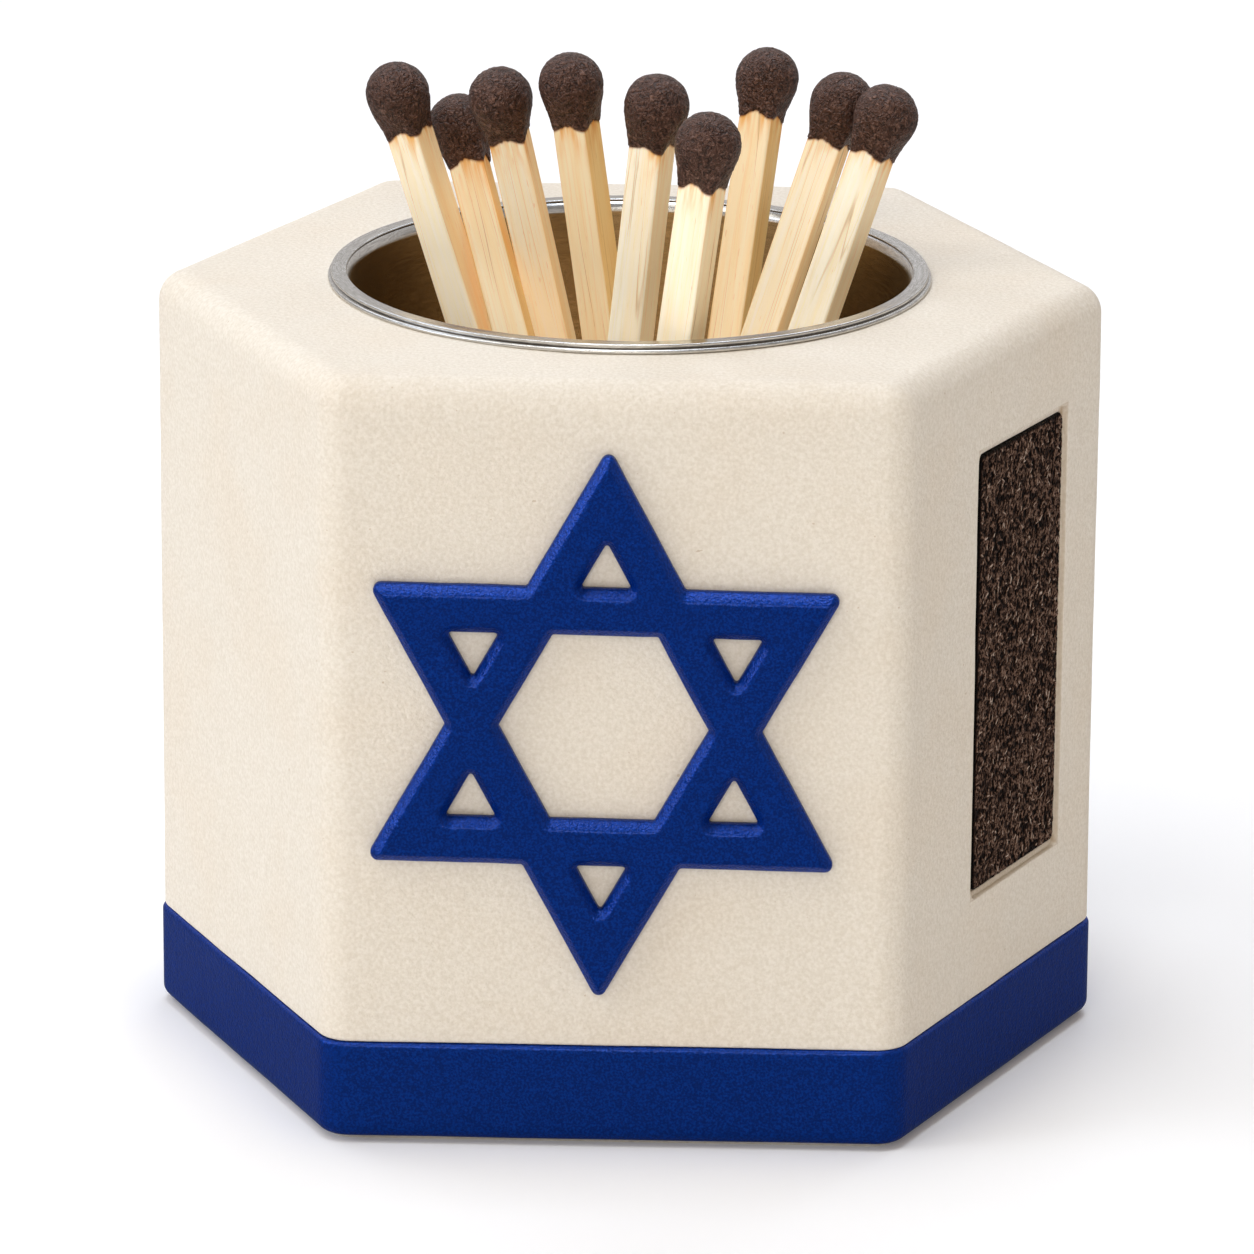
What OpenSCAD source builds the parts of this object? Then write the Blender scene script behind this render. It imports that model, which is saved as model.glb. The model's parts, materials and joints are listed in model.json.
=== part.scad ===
// Six-sided matchstick holder: a cast body with a blue base and a raised six-pointed star,
// a loose steel cup that hangs in the bore, a striking pad let into one side,
// and the wooden matches that stand in the cup.
// Millimetres. The origin is on the table under the middle, X to the right, Y to the back, Z up.

/* [Body] */
// Distance from the middle to the corner at the left or right
corner_x = 32; // [31:0.25:34]
// Width of the front face, and of the back face
front_w = 37.4; // [37:0.2:39]
// Distance from the front face to the back face
body_depth = 55.4; // [54:0.2:58]
// Height of the top face above the table
body_h = 52; // [50:0.5:54]
// Radius of the upright corners
corner_r = 2.4; // [2.1:0.1:3]
// Radius of the top edge
top_edge_r = 2; // [1.2:0.1:2]
// Radius of the bore that takes the cup
bore_r = 19.6; // [19.6:0.1:20]

/* [Base] */
// Height of the joint between the blue base and the cast body
base_top = 7; // [6.5:0.1:7.4]
// How far the blue base stands out past the body
base_proud = 0.15; // [0.05:0.05:0.3]
// Radius of the base's lower edge
base_edge_r = 0.9; // [0.8:0.1:1.5]
// Thickness of the soft pad under the base
pad_h = 0.3; // [0.3:0.1:0.8]

/* [Cup] */
// Inside radius of the cup
cup_r = 18.8; // [18.7:0.05:18.8]
// Thickness of the cup's wall and floor
cup_wall = 0.5; // [0.4:0.05:0.5]
// Outside radius of the rim that rests on the body
rim_r = 20.3; // [20.2:0.05:20.6]
// Height of the rim above the body
rim_h = 0.65; // [0.5:0.05:0.8]

/* [Star] */
// Distance from the star's middle to where the sides of a point would meet
star_r = 17.8; // [16:0.1:17.9]
// Width of the bands that form the star
star_band = 3; // [2.6:0.1:3.4]
// How far the star stands out from the front face
star_h = 1.2; // [0.8:0.1:1.6]
// How far the star's middle stands to the right of the middle of the front face
star_x = -0.65; // [-1:0.05:1]
// Height of the star's middle above the table
star_z = 29.1; // [28:0.1:31]
// Stretch of the star's height, where 1 is a regular star
star_stretch = 1.06; // [1:0.01:1.06]
// Turn of the star on the face, in degrees anticlockwise
star_turn = -0.7; // [-2:0.1:2]

/* [Striker] */
// Width of the striking pad
striker_w = 12.8; // [10:0.1:13]
// Height of the striking pad
striker_h = 29.9; // [24:0.1:30]
// Distance from the front corner to the middle of the pad, along the side face
striker_along = 18; // [16:0.1:18.5]
// Height of the middle of the pad above the table
striker_z = 29.6; // [28:0.1:31]
// Depth of the recess that holds the pad
recess_d = 0.6; // [0.6:0.1:1]

/* [Matches] */
// Length of a match from its foot to the top of its head
match_l = 59.3; // [57:0.1:59.3]
// Side of the square stick
stick_w = 2.3; // [2:0.05:2.3]
// Radius of the head
head_r = 2.1; // [1.9:0.05:2.1]
// Length of the head
head_l = 5.1; // [4.6:0.1:5.4]

/* [Hidden] */

// Each match: where its axis meets the cup's floor, x and y, where it passes the rim, x and y,
// and how far the square stick is turned about its own axis. They are ordered from left to right.
MATCHES = [
    [1.2, 3.6, -12.5, 3.9, 66],
    [3.7, -12.7, -9.5, 4.2, 44],
    [2.3, 14.3, -6.6, 4.6, 35],
    [3.4, 5.4, -2.4, 1.5, 31],
    [-3.9, 2.3, 0.6, -3.6, 28],
    [-1.8, -14.8, 3.9, -16.4, 80],
    [1.6, -3.6, 7.6, 12.9, 89],
    [-3.8, -2.4, 10.8, 4.7, 45],
    [-1.1, -5.2, 13.7, 1.3, 42]
];

half_depth = body_depth / 2;
// Side faces: the run from a front corner out to the middle corner, its length, and its outward normal
side_run = corner_x - front_w / 2;
side_len = norm([side_run, half_depth]);
side_nx = half_depth / side_len;
side_ny = side_run / side_len;
side_angle = atan2(half_depth, side_run);

// The base has a low round spigot that centres the body, and a groove for the adhesive
spigot_h = 0.8;
spigot_gap = 0.2;
groove_in = 21.5;
groove_out = 25.5;
groove_d = 0.3;
seam_edge_r = 0.25;
pad_inset = 1;
pad_corner_r = 1.5;

cup_low = base_top + spigot_h + 0.1;
cup_floor = cup_low + cup_wall;
cup_low_r = 1.5;
rim_edge_r = 0.28;
rim_z = body_h + rim_h;

glue_h = 0.1;
glue_inset = 0.5;
star_tip_r = 0.5;
star_notch_r = 0.15;

recess_gap = 0.25;
recess_corner_r = 0.6;
striker_corner_r = 0.4;
tape_t = 0.1;
card_t = 0.3;
coat_t = 0.12;

stick_chamfer = 0.3;
foot_gap = 0.03;
head_skirt_r = 1.66;
head_cover = 2.5;

cut = 1;

function unit(v) = v / norm(v);

// Corners of the six-sided outline, drawn in by a distance from every face
function hexagon(inset) =
    let (
        x_side = corner_x - inset / side_nx,
        x_front = front_w / 2 - inset * (1 - side_ny) / side_nx,
        y_front = half_depth - inset
    )
    [
        [x_side, 0], [x_front, y_front], [-x_front, y_front],
        [-x_side, 0], [-x_front, -y_front], [x_front, -y_front]
    ];

// Points of an arc, from one angle to another
function arc(middle, r, first, last, steps = 6) =
    [for (k = [0 : steps]) let (a = first + (last - first) * k / steps) middle + r * [cos(a), sin(a)]];

// Arc that rounds the corner b of an outline that runs a, b, c anticlockwise
function corner_arc(a, b, c, r) =
    let (
        along = unit(b - a),
        half = acos(unit(a - b) * unit(c - b)) / 2,
        middle = b + unit(unit(a - b) + unit(c - b)) * r / sin(half),
        first = atan2(-along.x, along.y)
    )
    arc(middle, r, first, first + 180 - 2 * half);

// Outline with each of its corners rounded to the radius r
function rounded(points, r) =
    let (n = len(points))
    [for (i = [0 : n - 1]) each corner_arc(points[(i + n - 1) % n], points[i], points[(i + 1) % n], r)];

function rectangle(w, h) = [[-w / 2, -h / 2], [w / 2, -h / 2], [w / 2, h / 2], [-w / 2, h / 2]];

function triangle(r, turn) = [for (k = [0 : 2]) r * [cos(turn + 120 * k), sin(turn + 120 * k)]];

// Round post between two heights, with its lower and upper edges rounded
module post(r, z_low, z_high, low_r, high_r) {
    rotate_extrude($fn = 32)
        polygon(concat(
            [[0, z_low]],
            arc([r - low_r, z_low + low_r], low_r, -90, 0),
            arc([r - high_r, z_high - high_r], high_r, 0, 90),
            [[0, z_high]]
        ));
}

// Six-sided block with rounded upright corners, standing proud of the body's faces by a distance
module hexagon_block(proud, z_low, z_high, low_r, high_r) {
    hull()
        for (p = hexagon(corner_r - proud))
            translate([p.x, p.y, 0])
                post(corner_r, z_low, z_high, low_r, high_r);
}

// Places a flat outline on the right front face, x along the face and y up, as a plate
// whose back lies at one depth below the face and whose front lies at another
module on_striker_face(back, front) {
    translate([front_w / 2, -half_depth, 0])
        rotate([0, 0, side_angle])
            translate([striker_along, back, striker_z])
                rotate([90, 0, 0])
                    linear_extrude(back - front)
                        children();
}

// Places the star's outline on the front face as a plate, from one distance in front of it to another
module on_front_face(near, far) {
    translate([star_x, -half_depth - near, star_z])
        rotate([90, 0, 0])
            linear_extrude(far - near)
                rotate(star_turn)
                    scale([1, star_stretch])
                        children();
}

// Outline of one of the star's two triangles, drawn in by a distance on both sides of its band
module star_ring(turn, inset) {
    difference() {
        polygon(rounded(triangle(star_r - 2 * inset, turn), star_tip_r));
        polygon(rounded(triangle(star_r - 2 * star_band + 2 * inset, turn), star_notch_r));
    }
}

module star_outline(inset) {
    star_ring(90, inset);
    star_ring(-90, inset);
}

module body() {
    color("antiquewhite")
        difference() {
            hexagon_block(0, base_top, body_h, seam_edge_r, top_edge_r);
            translate([0, 0, base_top - cut])
                cylinder(r = bore_r, h = body_h - base_top + 2 * cut, $fn = 96);
            on_striker_face(recess_d, -cut)
                polygon(rounded(
                    rectangle(striker_w + 2 * recess_gap, striker_h + 2 * recess_gap),
                    recess_corner_r
                ));
        }
}

module base_plinth() {
    color("mediumblue")
        difference() {
            union() {
                hexagon_block(base_proud, pad_h, base_top, base_edge_r, seam_edge_r);
                translate([0, 0, base_top - cut])
                    cylinder(r = bore_r - spigot_gap, h = spigot_h + cut, $fn = 96);
            }
            adhesive_ring(cut);
        }
}

// Ring that lies in the base's groove, flush with the base's top, with more height added for a cut
module adhesive_ring(more) {
    translate([0, 0, base_top - groove_d])
        difference() {
            cylinder(r = groove_out, h = groove_d + more, $fn = 96);
            translate([0, 0, -cut])
                cylinder(r = groove_in, h = groove_d + more + 2 * cut, $fn = 96);
        }
}

module base_adhesive() {
    color("gainsboro")
        adhesive_ring(0);
}

module base_pad() {
    color("whitesmoke")
        linear_extrude(pad_h)
            polygon(rounded(hexagon(pad_inset), pad_corner_r));
}

// The cup is turned from one outline: floor, wall, and the rim that rests on the body
module cup() {
    outer_r = cup_r + cup_wall;
    inner_low_r = cup_low_r - cup_wall;
    color("silver")
        rotate_extrude($fn = 128)
            polygon(concat(
                [[0, cup_low]],
                arc([outer_r - cup_low_r, cup_low + cup_low_r], cup_low_r, -90, 0),
                [[outer_r, body_h]],
                arc([rim_r - rim_edge_r, body_h + rim_edge_r], rim_edge_r, -90, 0, 3),
                arc([rim_r - rim_edge_r, rim_z - rim_edge_r], rim_edge_r, 0, 90, 3),
                arc([cup_r + rim_edge_r, rim_z - rim_edge_r], rim_edge_r, 90, 180, 3),
                arc([cup_r - inner_low_r, cup_floor + inner_low_r], inner_low_r, 0, -90),
                [[0, cup_floor]]
            ));
}

module star() {
    color("mediumblue")
        on_front_face(glue_h, star_h)
            star_outline(0);
}

module star_adhesive() {
    color("gainsboro")
        on_front_face(0, glue_h)
            star_outline(glue_inset);
}

// One layer of the striking pad, between two depths below the side face
module striker_layer(back, front) {
    on_striker_face(back, front)
        polygon(rounded(rectangle(striker_w, striker_h), striker_corner_r));
}

module striker_tape() {
    color("gainsboro")
        striker_layer(recess_d, recess_d - tape_t);
}

module striker_card() {
    color("tan")
        striker_layer(recess_d - tape_t, recess_d - tape_t - card_t);
}

module striker_coat() {
    color("saddlebrown")
        striker_layer(recess_d - tape_t - card_t, recess_d - tape_t - card_t - coat_t);
}

// Stands its children up as match number i, with z along the stick from the middle of its foot.
// A leaning stick rests on the lowest corner of its foot, so the middle is lifted to suit.
module as_match(i) {
    m = MATCHES[i];
    lean = [m[2] - m[0], m[3] - m[1], rim_z - cup_floor];
    tilt = acos(lean.z / norm(lean));
    heading = atan2(lean.y, lean.x);
    lift = stick_w / 2 * (abs(cos(m[4])) + abs(sin(m[4]))) * sin(tilt) + foot_gap;
    translate(concat([m[0], m[1], cup_floor] + lean * lift / lean.z))
        rotate([0, tilt, heading])
            rotate([0, 0, m[4]])
                children();
}

module stick_outline() {
    s = stick_w / 2;
    c = s - stick_chamfer;
    polygon([[s, -c], [s, c], [c, s], [-c, s], [-s, c], [-s, -c], [-c, -s], [c, -s]]);
}

module stick(i) {
    color("burlywood")
        as_match(i)
            linear_extrude(match_l - head_cover)
                stick_outline();
}

// Match head: a round bulb that narrows to a skirt on the stick, hollow where the stick enters it
module head(i) {
    color("saddlebrown")
        as_match(i)
            difference() {
                rotate_extrude($fn = 48)
                    polygon(concat(
                        [[0, match_l - head_l], [head_skirt_r, match_l - head_l]],
                        arc([0, match_l - head_r], head_r, -24, 90, 9)
                    ));
                translate([0, 0, match_l - head_l - cut])
                    linear_extrude(head_l - head_cover + cut)
                        stick_outline();
            }
}

body();
base_plinth();
base_adhesive();
base_pad();
cup();
star();
star_adhesive();
striker_coat();
striker_card();
striker_tape();
for (i = [0 : len(MATCHES) - 1]) stick(i);
for (i = [0 : len(MATCHES) - 1]) head(i);
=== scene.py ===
# %% [markdown]
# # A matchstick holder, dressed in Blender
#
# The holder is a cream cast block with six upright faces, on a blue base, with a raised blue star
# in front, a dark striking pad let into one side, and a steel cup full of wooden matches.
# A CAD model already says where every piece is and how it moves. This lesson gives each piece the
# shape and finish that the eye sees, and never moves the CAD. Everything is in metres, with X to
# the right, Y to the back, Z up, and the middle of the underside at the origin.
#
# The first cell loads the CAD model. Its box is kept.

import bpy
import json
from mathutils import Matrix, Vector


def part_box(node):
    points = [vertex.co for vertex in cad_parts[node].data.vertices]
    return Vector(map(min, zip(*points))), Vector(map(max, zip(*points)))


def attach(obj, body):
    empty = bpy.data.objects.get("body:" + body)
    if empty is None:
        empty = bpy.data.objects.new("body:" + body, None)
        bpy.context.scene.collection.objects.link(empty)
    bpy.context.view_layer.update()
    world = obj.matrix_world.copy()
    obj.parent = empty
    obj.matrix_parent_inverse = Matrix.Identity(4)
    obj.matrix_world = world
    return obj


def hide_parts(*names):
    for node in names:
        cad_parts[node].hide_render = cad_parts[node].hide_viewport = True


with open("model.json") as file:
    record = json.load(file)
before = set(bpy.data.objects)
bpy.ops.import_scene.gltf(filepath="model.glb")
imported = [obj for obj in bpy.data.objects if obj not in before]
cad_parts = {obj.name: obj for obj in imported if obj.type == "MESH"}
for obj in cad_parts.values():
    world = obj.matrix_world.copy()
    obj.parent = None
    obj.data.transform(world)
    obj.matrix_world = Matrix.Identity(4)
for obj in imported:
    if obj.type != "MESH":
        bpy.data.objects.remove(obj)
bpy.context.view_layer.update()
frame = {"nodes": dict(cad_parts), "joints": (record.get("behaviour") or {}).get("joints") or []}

# %% Tools for shapes
import json
from itertools import product

import bpy
import numpy as np
from mathutils import Matrix, Vector
from mathutils.geometry import delaunay_2d_cdt

MM = 0.001
scene = bpy.context.scene


def cad_points(node):
    """All corners of a CAD piece's mesh, as an array of x, y, z."""
    mesh = frame["nodes"][node].data
    flat = np.empty(3 * len(mesh.vertices), np.float32)
    mesh.vertices.foreach_get("co", flat)
    return flat.reshape(-1, 3).astype(float)


def eased(share):
    """Smooth rise from 0 to 1: three times the square less twice the cube."""
    return share * share * (3 - 2 * share)


def with_height(flat, height):
    """Adds a height to every row of a grid of x and y."""
    return np.concatenate([flat, np.broadcast_to(height, (*flat.shape[:2], 1))], -1)


def turned(radius, angle, height):
    """Places at a distance from the z axis, an angle round it and a height."""
    return np.stack(np.broadcast_arrays(radius * np.cos(angle), radius * np.sin(angle), height), -1)


# %% [markdown]
# ## Finishes as small recipes
#
# A finish is a network of nodes that feeds one shader. Each finish below is built from the same few
# steps, so they are written once: noise of a real size, a colour ramp, a blend and a relief. Sizes
# are given as real lengths, because a grain that is right on the bench is right in the render.


# %% Tools for finishes
def shade(red, green, blue):
    """Colour from three screen values of 0 to 255, undone to the straight scale that light adds in."""
    screen = np.array([red, green, blue]) / 255
    straight = np.where(screen <= 0.04045, screen / 12.92, ((screen + 0.055) / 1.055) ** 2.4)
    return (*straight.tolist(), 1.0)


def add_node(finish, kind, inputs, **settings):
    """Adds a shader node. A value that is another node's output is linked, and any other is set."""
    node = finish.node_tree.nodes.new("ShaderNode" + kind)
    for key, value in settings.items():
        setattr(node, key, value)
    for key, value in inputs.items():
        if isinstance(value, bpy.types.NodeSocket):
            finish.node_tree.links.new(value, node.inputs[key])
        else:
            node.inputs[key].default_value = value
    return node


def noise(finish, place, size, detail=2.0, roughness=0.5):
    """Cloudy noise from 0 to 1, whose patches are about size across."""
    inputs = {"Vector": place, "Scale": 1 / size, "Detail": detail, "Roughness": roughness}
    return add_node(finish, "TexNoise", inputs).outputs[0]


def ramp(finish, value, *stops):
    """Colour ramp. Each stop is a place from 0 to 1 and a colour."""
    node = add_node(finish, "ValToRGB", {0: value})
    elements = node.color_ramp.elements
    while len(elements) < len(stops):
        elements.new(0.5)
    for element, (position, colour) in zip(elements, stops):
        element.position = position
        element.color = colour
    return node.outputs[0]


def between(finish, value, low, high):
    """Rises smoothly from 0 at low to 1 at high."""
    inputs = {0: value, 1: low, 2: high}
    return add_node(finish, "MapRange", inputs, interpolation_type="SMOOTHSTEP").outputs[0]


def blend(finish, share, first, second, how="MIX"):
    """Blends two colours: the first at a share of 0, the second at 1."""
    inputs = {0: share, 6: first, 7: second}
    return add_node(finish, "Mix", inputs, data_type="RGBA", blend_type=how).outputs[2]


def sums(finish, how, first, second):
    """One step of arithmetic on two numbers."""
    return add_node(finish, "Math", {0: first, 1: second}, operation=how).outputs[0]


def relief(finish, height, depth, under=None):
    """Tilts the surface as if height, from 0 to 1, stood out by depth. under is a coarser relief."""
    inputs = {"Height": height, "Distance": depth}
    if under is not None:
        inputs["Normal"] = under
    return add_node(finish, "Bump", inputs).outputs[0]


def object_place(finish, stretch=(1, 1, 1)):
    """Place on the object in metres, divided by stretch along each axis."""
    whole = add_node(finish, "TexCoord", {}).outputs["Object"]
    scale = tuple(1 / s for s in stretch)
    return add_node(finish, "Mapping", {"Vector": whole, "Scale": scale}).outputs[0]


def carried(finish, name):
    """The three numbers from 0 to 1 that every point of a piece carries under that name."""
    own = add_node(finish, "Attribute", {}, attribute_name=name)
    return add_node(finish, "SeparateColor", {0: own.outputs["Color"]}).outputs


def new_finish(name, colour, normal, **values):
    """Starts a finish: recipe steps are added by functions that take the material and return outputs."""
    finish = bpy.data.materials.new(name)
    finish.use_nodes = True
    shader = finish.node_tree.nodes["Principled BSDF"]
    for key, value in values.items():
        shader.inputs[key.replace("_", " ")].default_value = value
    for key, recipe in {"Base Color": colour, "Normal": normal}.items():
        if recipe is not None:
            finish.node_tree.links.new(recipe(finish), shader.inputs[key])
    return finish


def follow(finish, key, leader):
    """Feeds one input of the shader with what feeds another."""
    inputs = finish.node_tree.nodes["Principled BSDF"].inputs
    finish.node_tree.links.new(inputs[leader].links[0].from_socket, inputs[key])


print("recipe steps are ready")

# %% [markdown]
# ## Camera
#
# A photograph of the real holder was taken from in front and a little above, with a long lens, so
# its upright edges stay almost parallel. The place, turn and lens below come from fitting a camera
# to the edges of the block, the rim of the cup and the points of the star. The camera's three axes
# are worked out as vectors: ahead from the yaw and pitch, then right and up from those and the roll.

# %% The camera
CAMERA_PLACE = Vector((15.69, -526.13, 188.48)) * MM
CAMERA_LENS = 231.88
YAW, PITCH, ROLL = np.radians([-1.71, 17.02, 0.41])

ahead = Vector((np.sin(YAW) * np.cos(PITCH), np.cos(YAW) * np.cos(PITCH), -np.sin(PITCH)))
level = Vector((np.cos(YAW), -np.sin(YAW), 0))
upward = level.cross(ahead)
right = level * np.cos(ROLL) + upward * np.sin(ROLL)
up = upward * np.cos(ROLL) - level * np.sin(ROLL)

camera = bpy.data.objects.new("camera", bpy.data.cameras.new("camera"))
camera.data.lens = CAMERA_LENS
camera.data.sensor_width = 36
camera.matrix_world = Matrix.Translation(CAMERA_PLACE) @ Matrix((right, up, -ahead)).transposed().to_4x4()
scene.collection.objects.link(camera)
scene.camera = camera
print("the camera stands", round(CAMERA_PLACE.length / MM), "mm from the middle of the underside")

# %% [markdown]
# ## Studio
#
# The picture is a product shot on white: a floor that burns out to white, the left face brighter than
# the front, the right face in half shade, and only weak soft shadows. No single lamp does that. Six
# soft boxes stand in a dome round the holder, and each one's power comes from fitting their sum to
# the brightness of the faces and of the floor in the photograph. The two in front are a little warm
# and the others a little cool. The surround adds the rest. It is plain white to the camera, and dim
# and warm as a light. What mirrors in the steel is a third picture of the room: dark at the horizon,
# bright above it and grey overhead, with a paler area behind the holder. Steel only looks like steel
# where it has both bright and dark to mirror.

# %% Surround
SURROUND_LIGHT = 0.206
SURROUND_TINT = (1.23, 0.94, 0.66)
HORIZON_SHARE = 0.3
HORIZON_TOP, DOME_START = 0.1, 0.24
MIRRORED_TINT = (1.04, 1.0, 0.97)
MIRRORED_HEIGHTS = ((0.0, 0.08), (0.08, 0.12), (0.2, 0.5), (0.55, 0.46), (0.85, 0.24))
MIRRORED_BEHIND = 0.58

world = bpy.data.worlds.new("studio")
scene.world = world
world.use_nodes = True


def tinted(tint, amount):
    """A colour that is a tint made weaker or stronger."""
    return (*(amount * channel for channel in tint), 1.0)


direction = add_node(world, "TexCoord", {}).outputs["Generated"]
split = add_node(world, "SeparateXYZ", {0: direction})
height, behind = split.outputs[2], split.outputs[1]
dim, full = (tinted(SURROUND_TINT, SURROUND_LIGHT * share) for share in (HORIZON_SHARE, 1))
dome = ramp(world, height, (0.0, dim), (HORIZON_TOP, dim), (DOME_START, full))
mirrored = ramp(world, height, *((at, tinted(MIRRORED_TINT, grey)) for at, grey in MIRRORED_HEIGHTS))
pale_area = between(world, behind, 0.35, 0.7)
mirrored = blend(world, pale_area, mirrored, tinted(MIRRORED_TINT, MIRRORED_BEHIND))
rays = add_node(world, "LightPath", {}).outputs
room = blend(world, rays["Is Glossy Ray"], dome, mirrored)
surround = world.node_tree.nodes["Background"]
world.node_tree.links.new(blend(world, rays["Is Camera Ray"], room, (1, 1, 1, 1)), surround.inputs["Color"])
scene.view_settings.view_transform = "Standard"
print("the surround lights the holder at", SURROUND_LIGHT, "of white")

# %% Lamps
WARM, COOL = (1.08, 1.035, 0.94), (0.887, 0.988, 1.14)
BOX_DISTANCE, BOX_SIDE = 2.0, 1.0
HOLDER_MIDDLE = Vector((0, 0, 30)) * MM


def softbox(name, direction, power, tint):
    """Square lamp that faces the middle of the holder. direction points from there to the lamp."""
    lamp = bpy.data.lights.new(name, "AREA")
    lamp.shape = "SQUARE"
    lamp.size = BOX_SIDE
    lamp.energy = power
    lamp.color = tint
    holder = bpy.data.objects.new(name, lamp)
    towards = Vector(direction).normalized()
    facing = towards.to_track_quat("Z", "Y").to_matrix().to_4x4()
    holder.matrix_world = Matrix.Translation(HOLDER_MIDDLE + towards * BOX_DISTANCE) @ facing
    scene.collection.objects.link(holder)


softbox("front", (-0.1, -0.9, 0.45), 8.8, WARM)
softbox("front_left_high", (-0.46, -0.32, 0.83), 6.8, WARM)
softbox("left", (-0.9, -0.2, 0.4), 9.4, COOL)
softbox("top", (0, 0, 1), 15.3, COOL)
softbox("back_right_high", (0.2, 0.6, 0.77), 7.0, COOL)
softbox("back_left_high", (-0.5, 0.5, 0.7), 5.0, COOL)

# %% [markdown]
# ### The floor
#
# A plain white sheet. It is stage, not object, and it only has to catch the shadow. It glows a
# little, as a light table does, so that its shadows stay soft. What mirrors in the paint is a much
# darker sheet, as if a grey card lay on the table: a white one would lay a film over the blue.

# %% Floor
FLOOR_HALF = 3.0
FLOOR_GLOW = 0.07
FLOOR_WHITE = shade(249, 249, 249), shade(252, 252, 252)
FLOOR_MIRRORED = shade(118, 118, 118)


def floor_tone(finish):
    soft = noise(finish, object_place(finish), 0.3)
    white = ramp(finish, soft, *zip((0.0, 1.0), FLOOR_WHITE))
    mirrored = add_node(finish, "LightPath", {}).outputs["Is Glossy Ray"]
    return blend(finish, mirrored, white, FLOOR_MIRRORED)


floor_mesh = bpy.data.meshes.new("floor")
floor_corners = [(x * FLOOR_HALF, y * FLOOR_HALF, 0) for x, y in ((-1, -1), (1, -1), (1, 1), (-1, 1))]
floor_mesh.from_pydata(floor_corners, [], [(0, 1, 2, 3)])
sheet = new_finish("white_floor", floor_tone, None, Roughness=0.9, Emission_Color=(1, 1, 1, 1),
                   Emission_Strength=FLOOR_GLOW, Specular_IOR_Level=0.1)
floor_mesh.materials.append(sheet)
floor = bpy.data.objects.new("floor", floor_mesh)
scene.collection.objects.link(floor)
print("the floor is", 2 * FLOOR_HALF, "m wide")

# %% [markdown]
# ## Surfaces from grids
#
# Most pieces are one closed skin: a grid of points whose columns run round the piece and whose rows
# run along a profile. The grid is worked out as whole arrays, and one function sews it up. Where the
# rows come back to their start, as round a ring, the last row meets the first. Otherwise each end is
# closed with a fan of triangles round a pole.


# %% Sewing a grid
def skin(grid, poles=None):
    """Points and faces of a closed surface. grid is rows x columns x 3, closed along each row.
    Face (r, c) joins corners (r, c), (r, c+1), (r+1, c+1) and (r+1, c)."""
    rows, columns = grid.shape[:2]
    points = grid.reshape(-1, 3)
    steps = rows if poles is None else rows - 1
    r, c = np.meshgrid(np.arange(steps), np.arange(columns), indexing="ij")
    beside, above = (c + 1) % columns, (r + 1) % rows
    corners = [r * columns + c, r * columns + beside, above * columns + beside, above * columns + c]
    faces = np.stack(corners, -1).reshape(-1, 4).tolist()
    if poles is not None:
        ring = np.arange(columns)
        beside = (ring + 1) % columns
        last = (rows - 1) * columns
        first_pole = len(points)
        points = np.vstack([points, poles])
        faces += np.stack([beside, ring, np.full(columns, first_pole)], -1).tolist()
        faces += np.stack([last + ring, last + beside, np.full(columns, first_pole + 1)], -1).tolist()
    return points, faces


def add_piece(name, points, faces, finish, body, slot, *nodes):
    """Makes a smooth mesh in the scene, on a CAD body, in place of the CAD nodes that it stands for."""
    mesh = bpy.data.meshes.new(name)
    mesh.from_pydata(points.tolist(), [], faces)
    mesh.shade_smooth()
    mesh.materials.append(finish)
    piece = bpy.data.objects.new(name, mesh)
    scene.collection.objects.link(piece)
    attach(piece, body)
    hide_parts(*nodes)
    triangles = sum(len(face) - 2 for face in faces)
    print(f"{name}: {len(points)} points, {triangles} triangles")
    return piece


print("faces of a skin with 3 rows and 8 columns:", len(skin(np.zeros((3, 8, 3)), np.zeros((2, 3)))[1]))


# %% Rounded outlines
def rounded_outline(corners, radius, sides, arc_steps=8):
    """Points and outward normals of an anticlockwise outline with rounded corners.
    radius is one for all corners or a list. sides gives each side's places along it as shares from
    0 to 1, or a number of equal steps. Along an arc the normal turns by the corner's own angle."""
    corners = np.array(corners, float)
    count = len(corners)
    radii = np.broadcast_to(radius, count)
    ahead = np.roll(corners, -1, axis=0) - corners
    lengths = np.linalg.norm(ahead, axis=1, keepdims=True)
    ahead = ahead / lengths
    normals = np.stack([ahead[:, 1], -ahead[:, 0]], -1)
    behind = np.roll(ahead, 1, axis=0)
    turn = np.arctan2(behind[:, 0] * ahead[:, 1] - behind[:, 1] * ahead[:, 0], (behind * ahead).sum(1))
    cut = radii * np.tan(np.abs(turn) / 2)
    points, outward = [], []
    for i in range(count):
        angle = turn[i] * np.linspace(0, 1, arc_steps + 1)[:, None]
        first = np.array([behind[i, 1], -behind[i, 0]])
        sideways = np.array([-first[1], first[0]])
        normal = first * np.cos(angle) + sideways * np.sin(angle)
        start = corners[i] - behind[i] * cut[i]
        points.append(start + radii[i] * np.sign(turn[i]) * (normal - first))
        outward.append(normal)
        side = sides[i] if isinstance(sides, (list, tuple)) else sides
        shares = np.linspace(0, 1, side + 1)[1:-1] if np.isscalar(side) else np.asarray(side)
        low, high = cut[i], lengths[i, 0] - cut[(i + 1) % count]
        along = low + shares[:, None] * (high - low)
        points.append(corners[i] + ahead[i] * along)
        outward.append(np.broadcast_to(normals[i], (len(along), 2)))
    return np.vstack(points), np.vstack(outward)


COARSE, FINE, FINE_REACH = 0.8 * MM, 0.045 * MM, 0.25 * MM
DENSE = 6000


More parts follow.
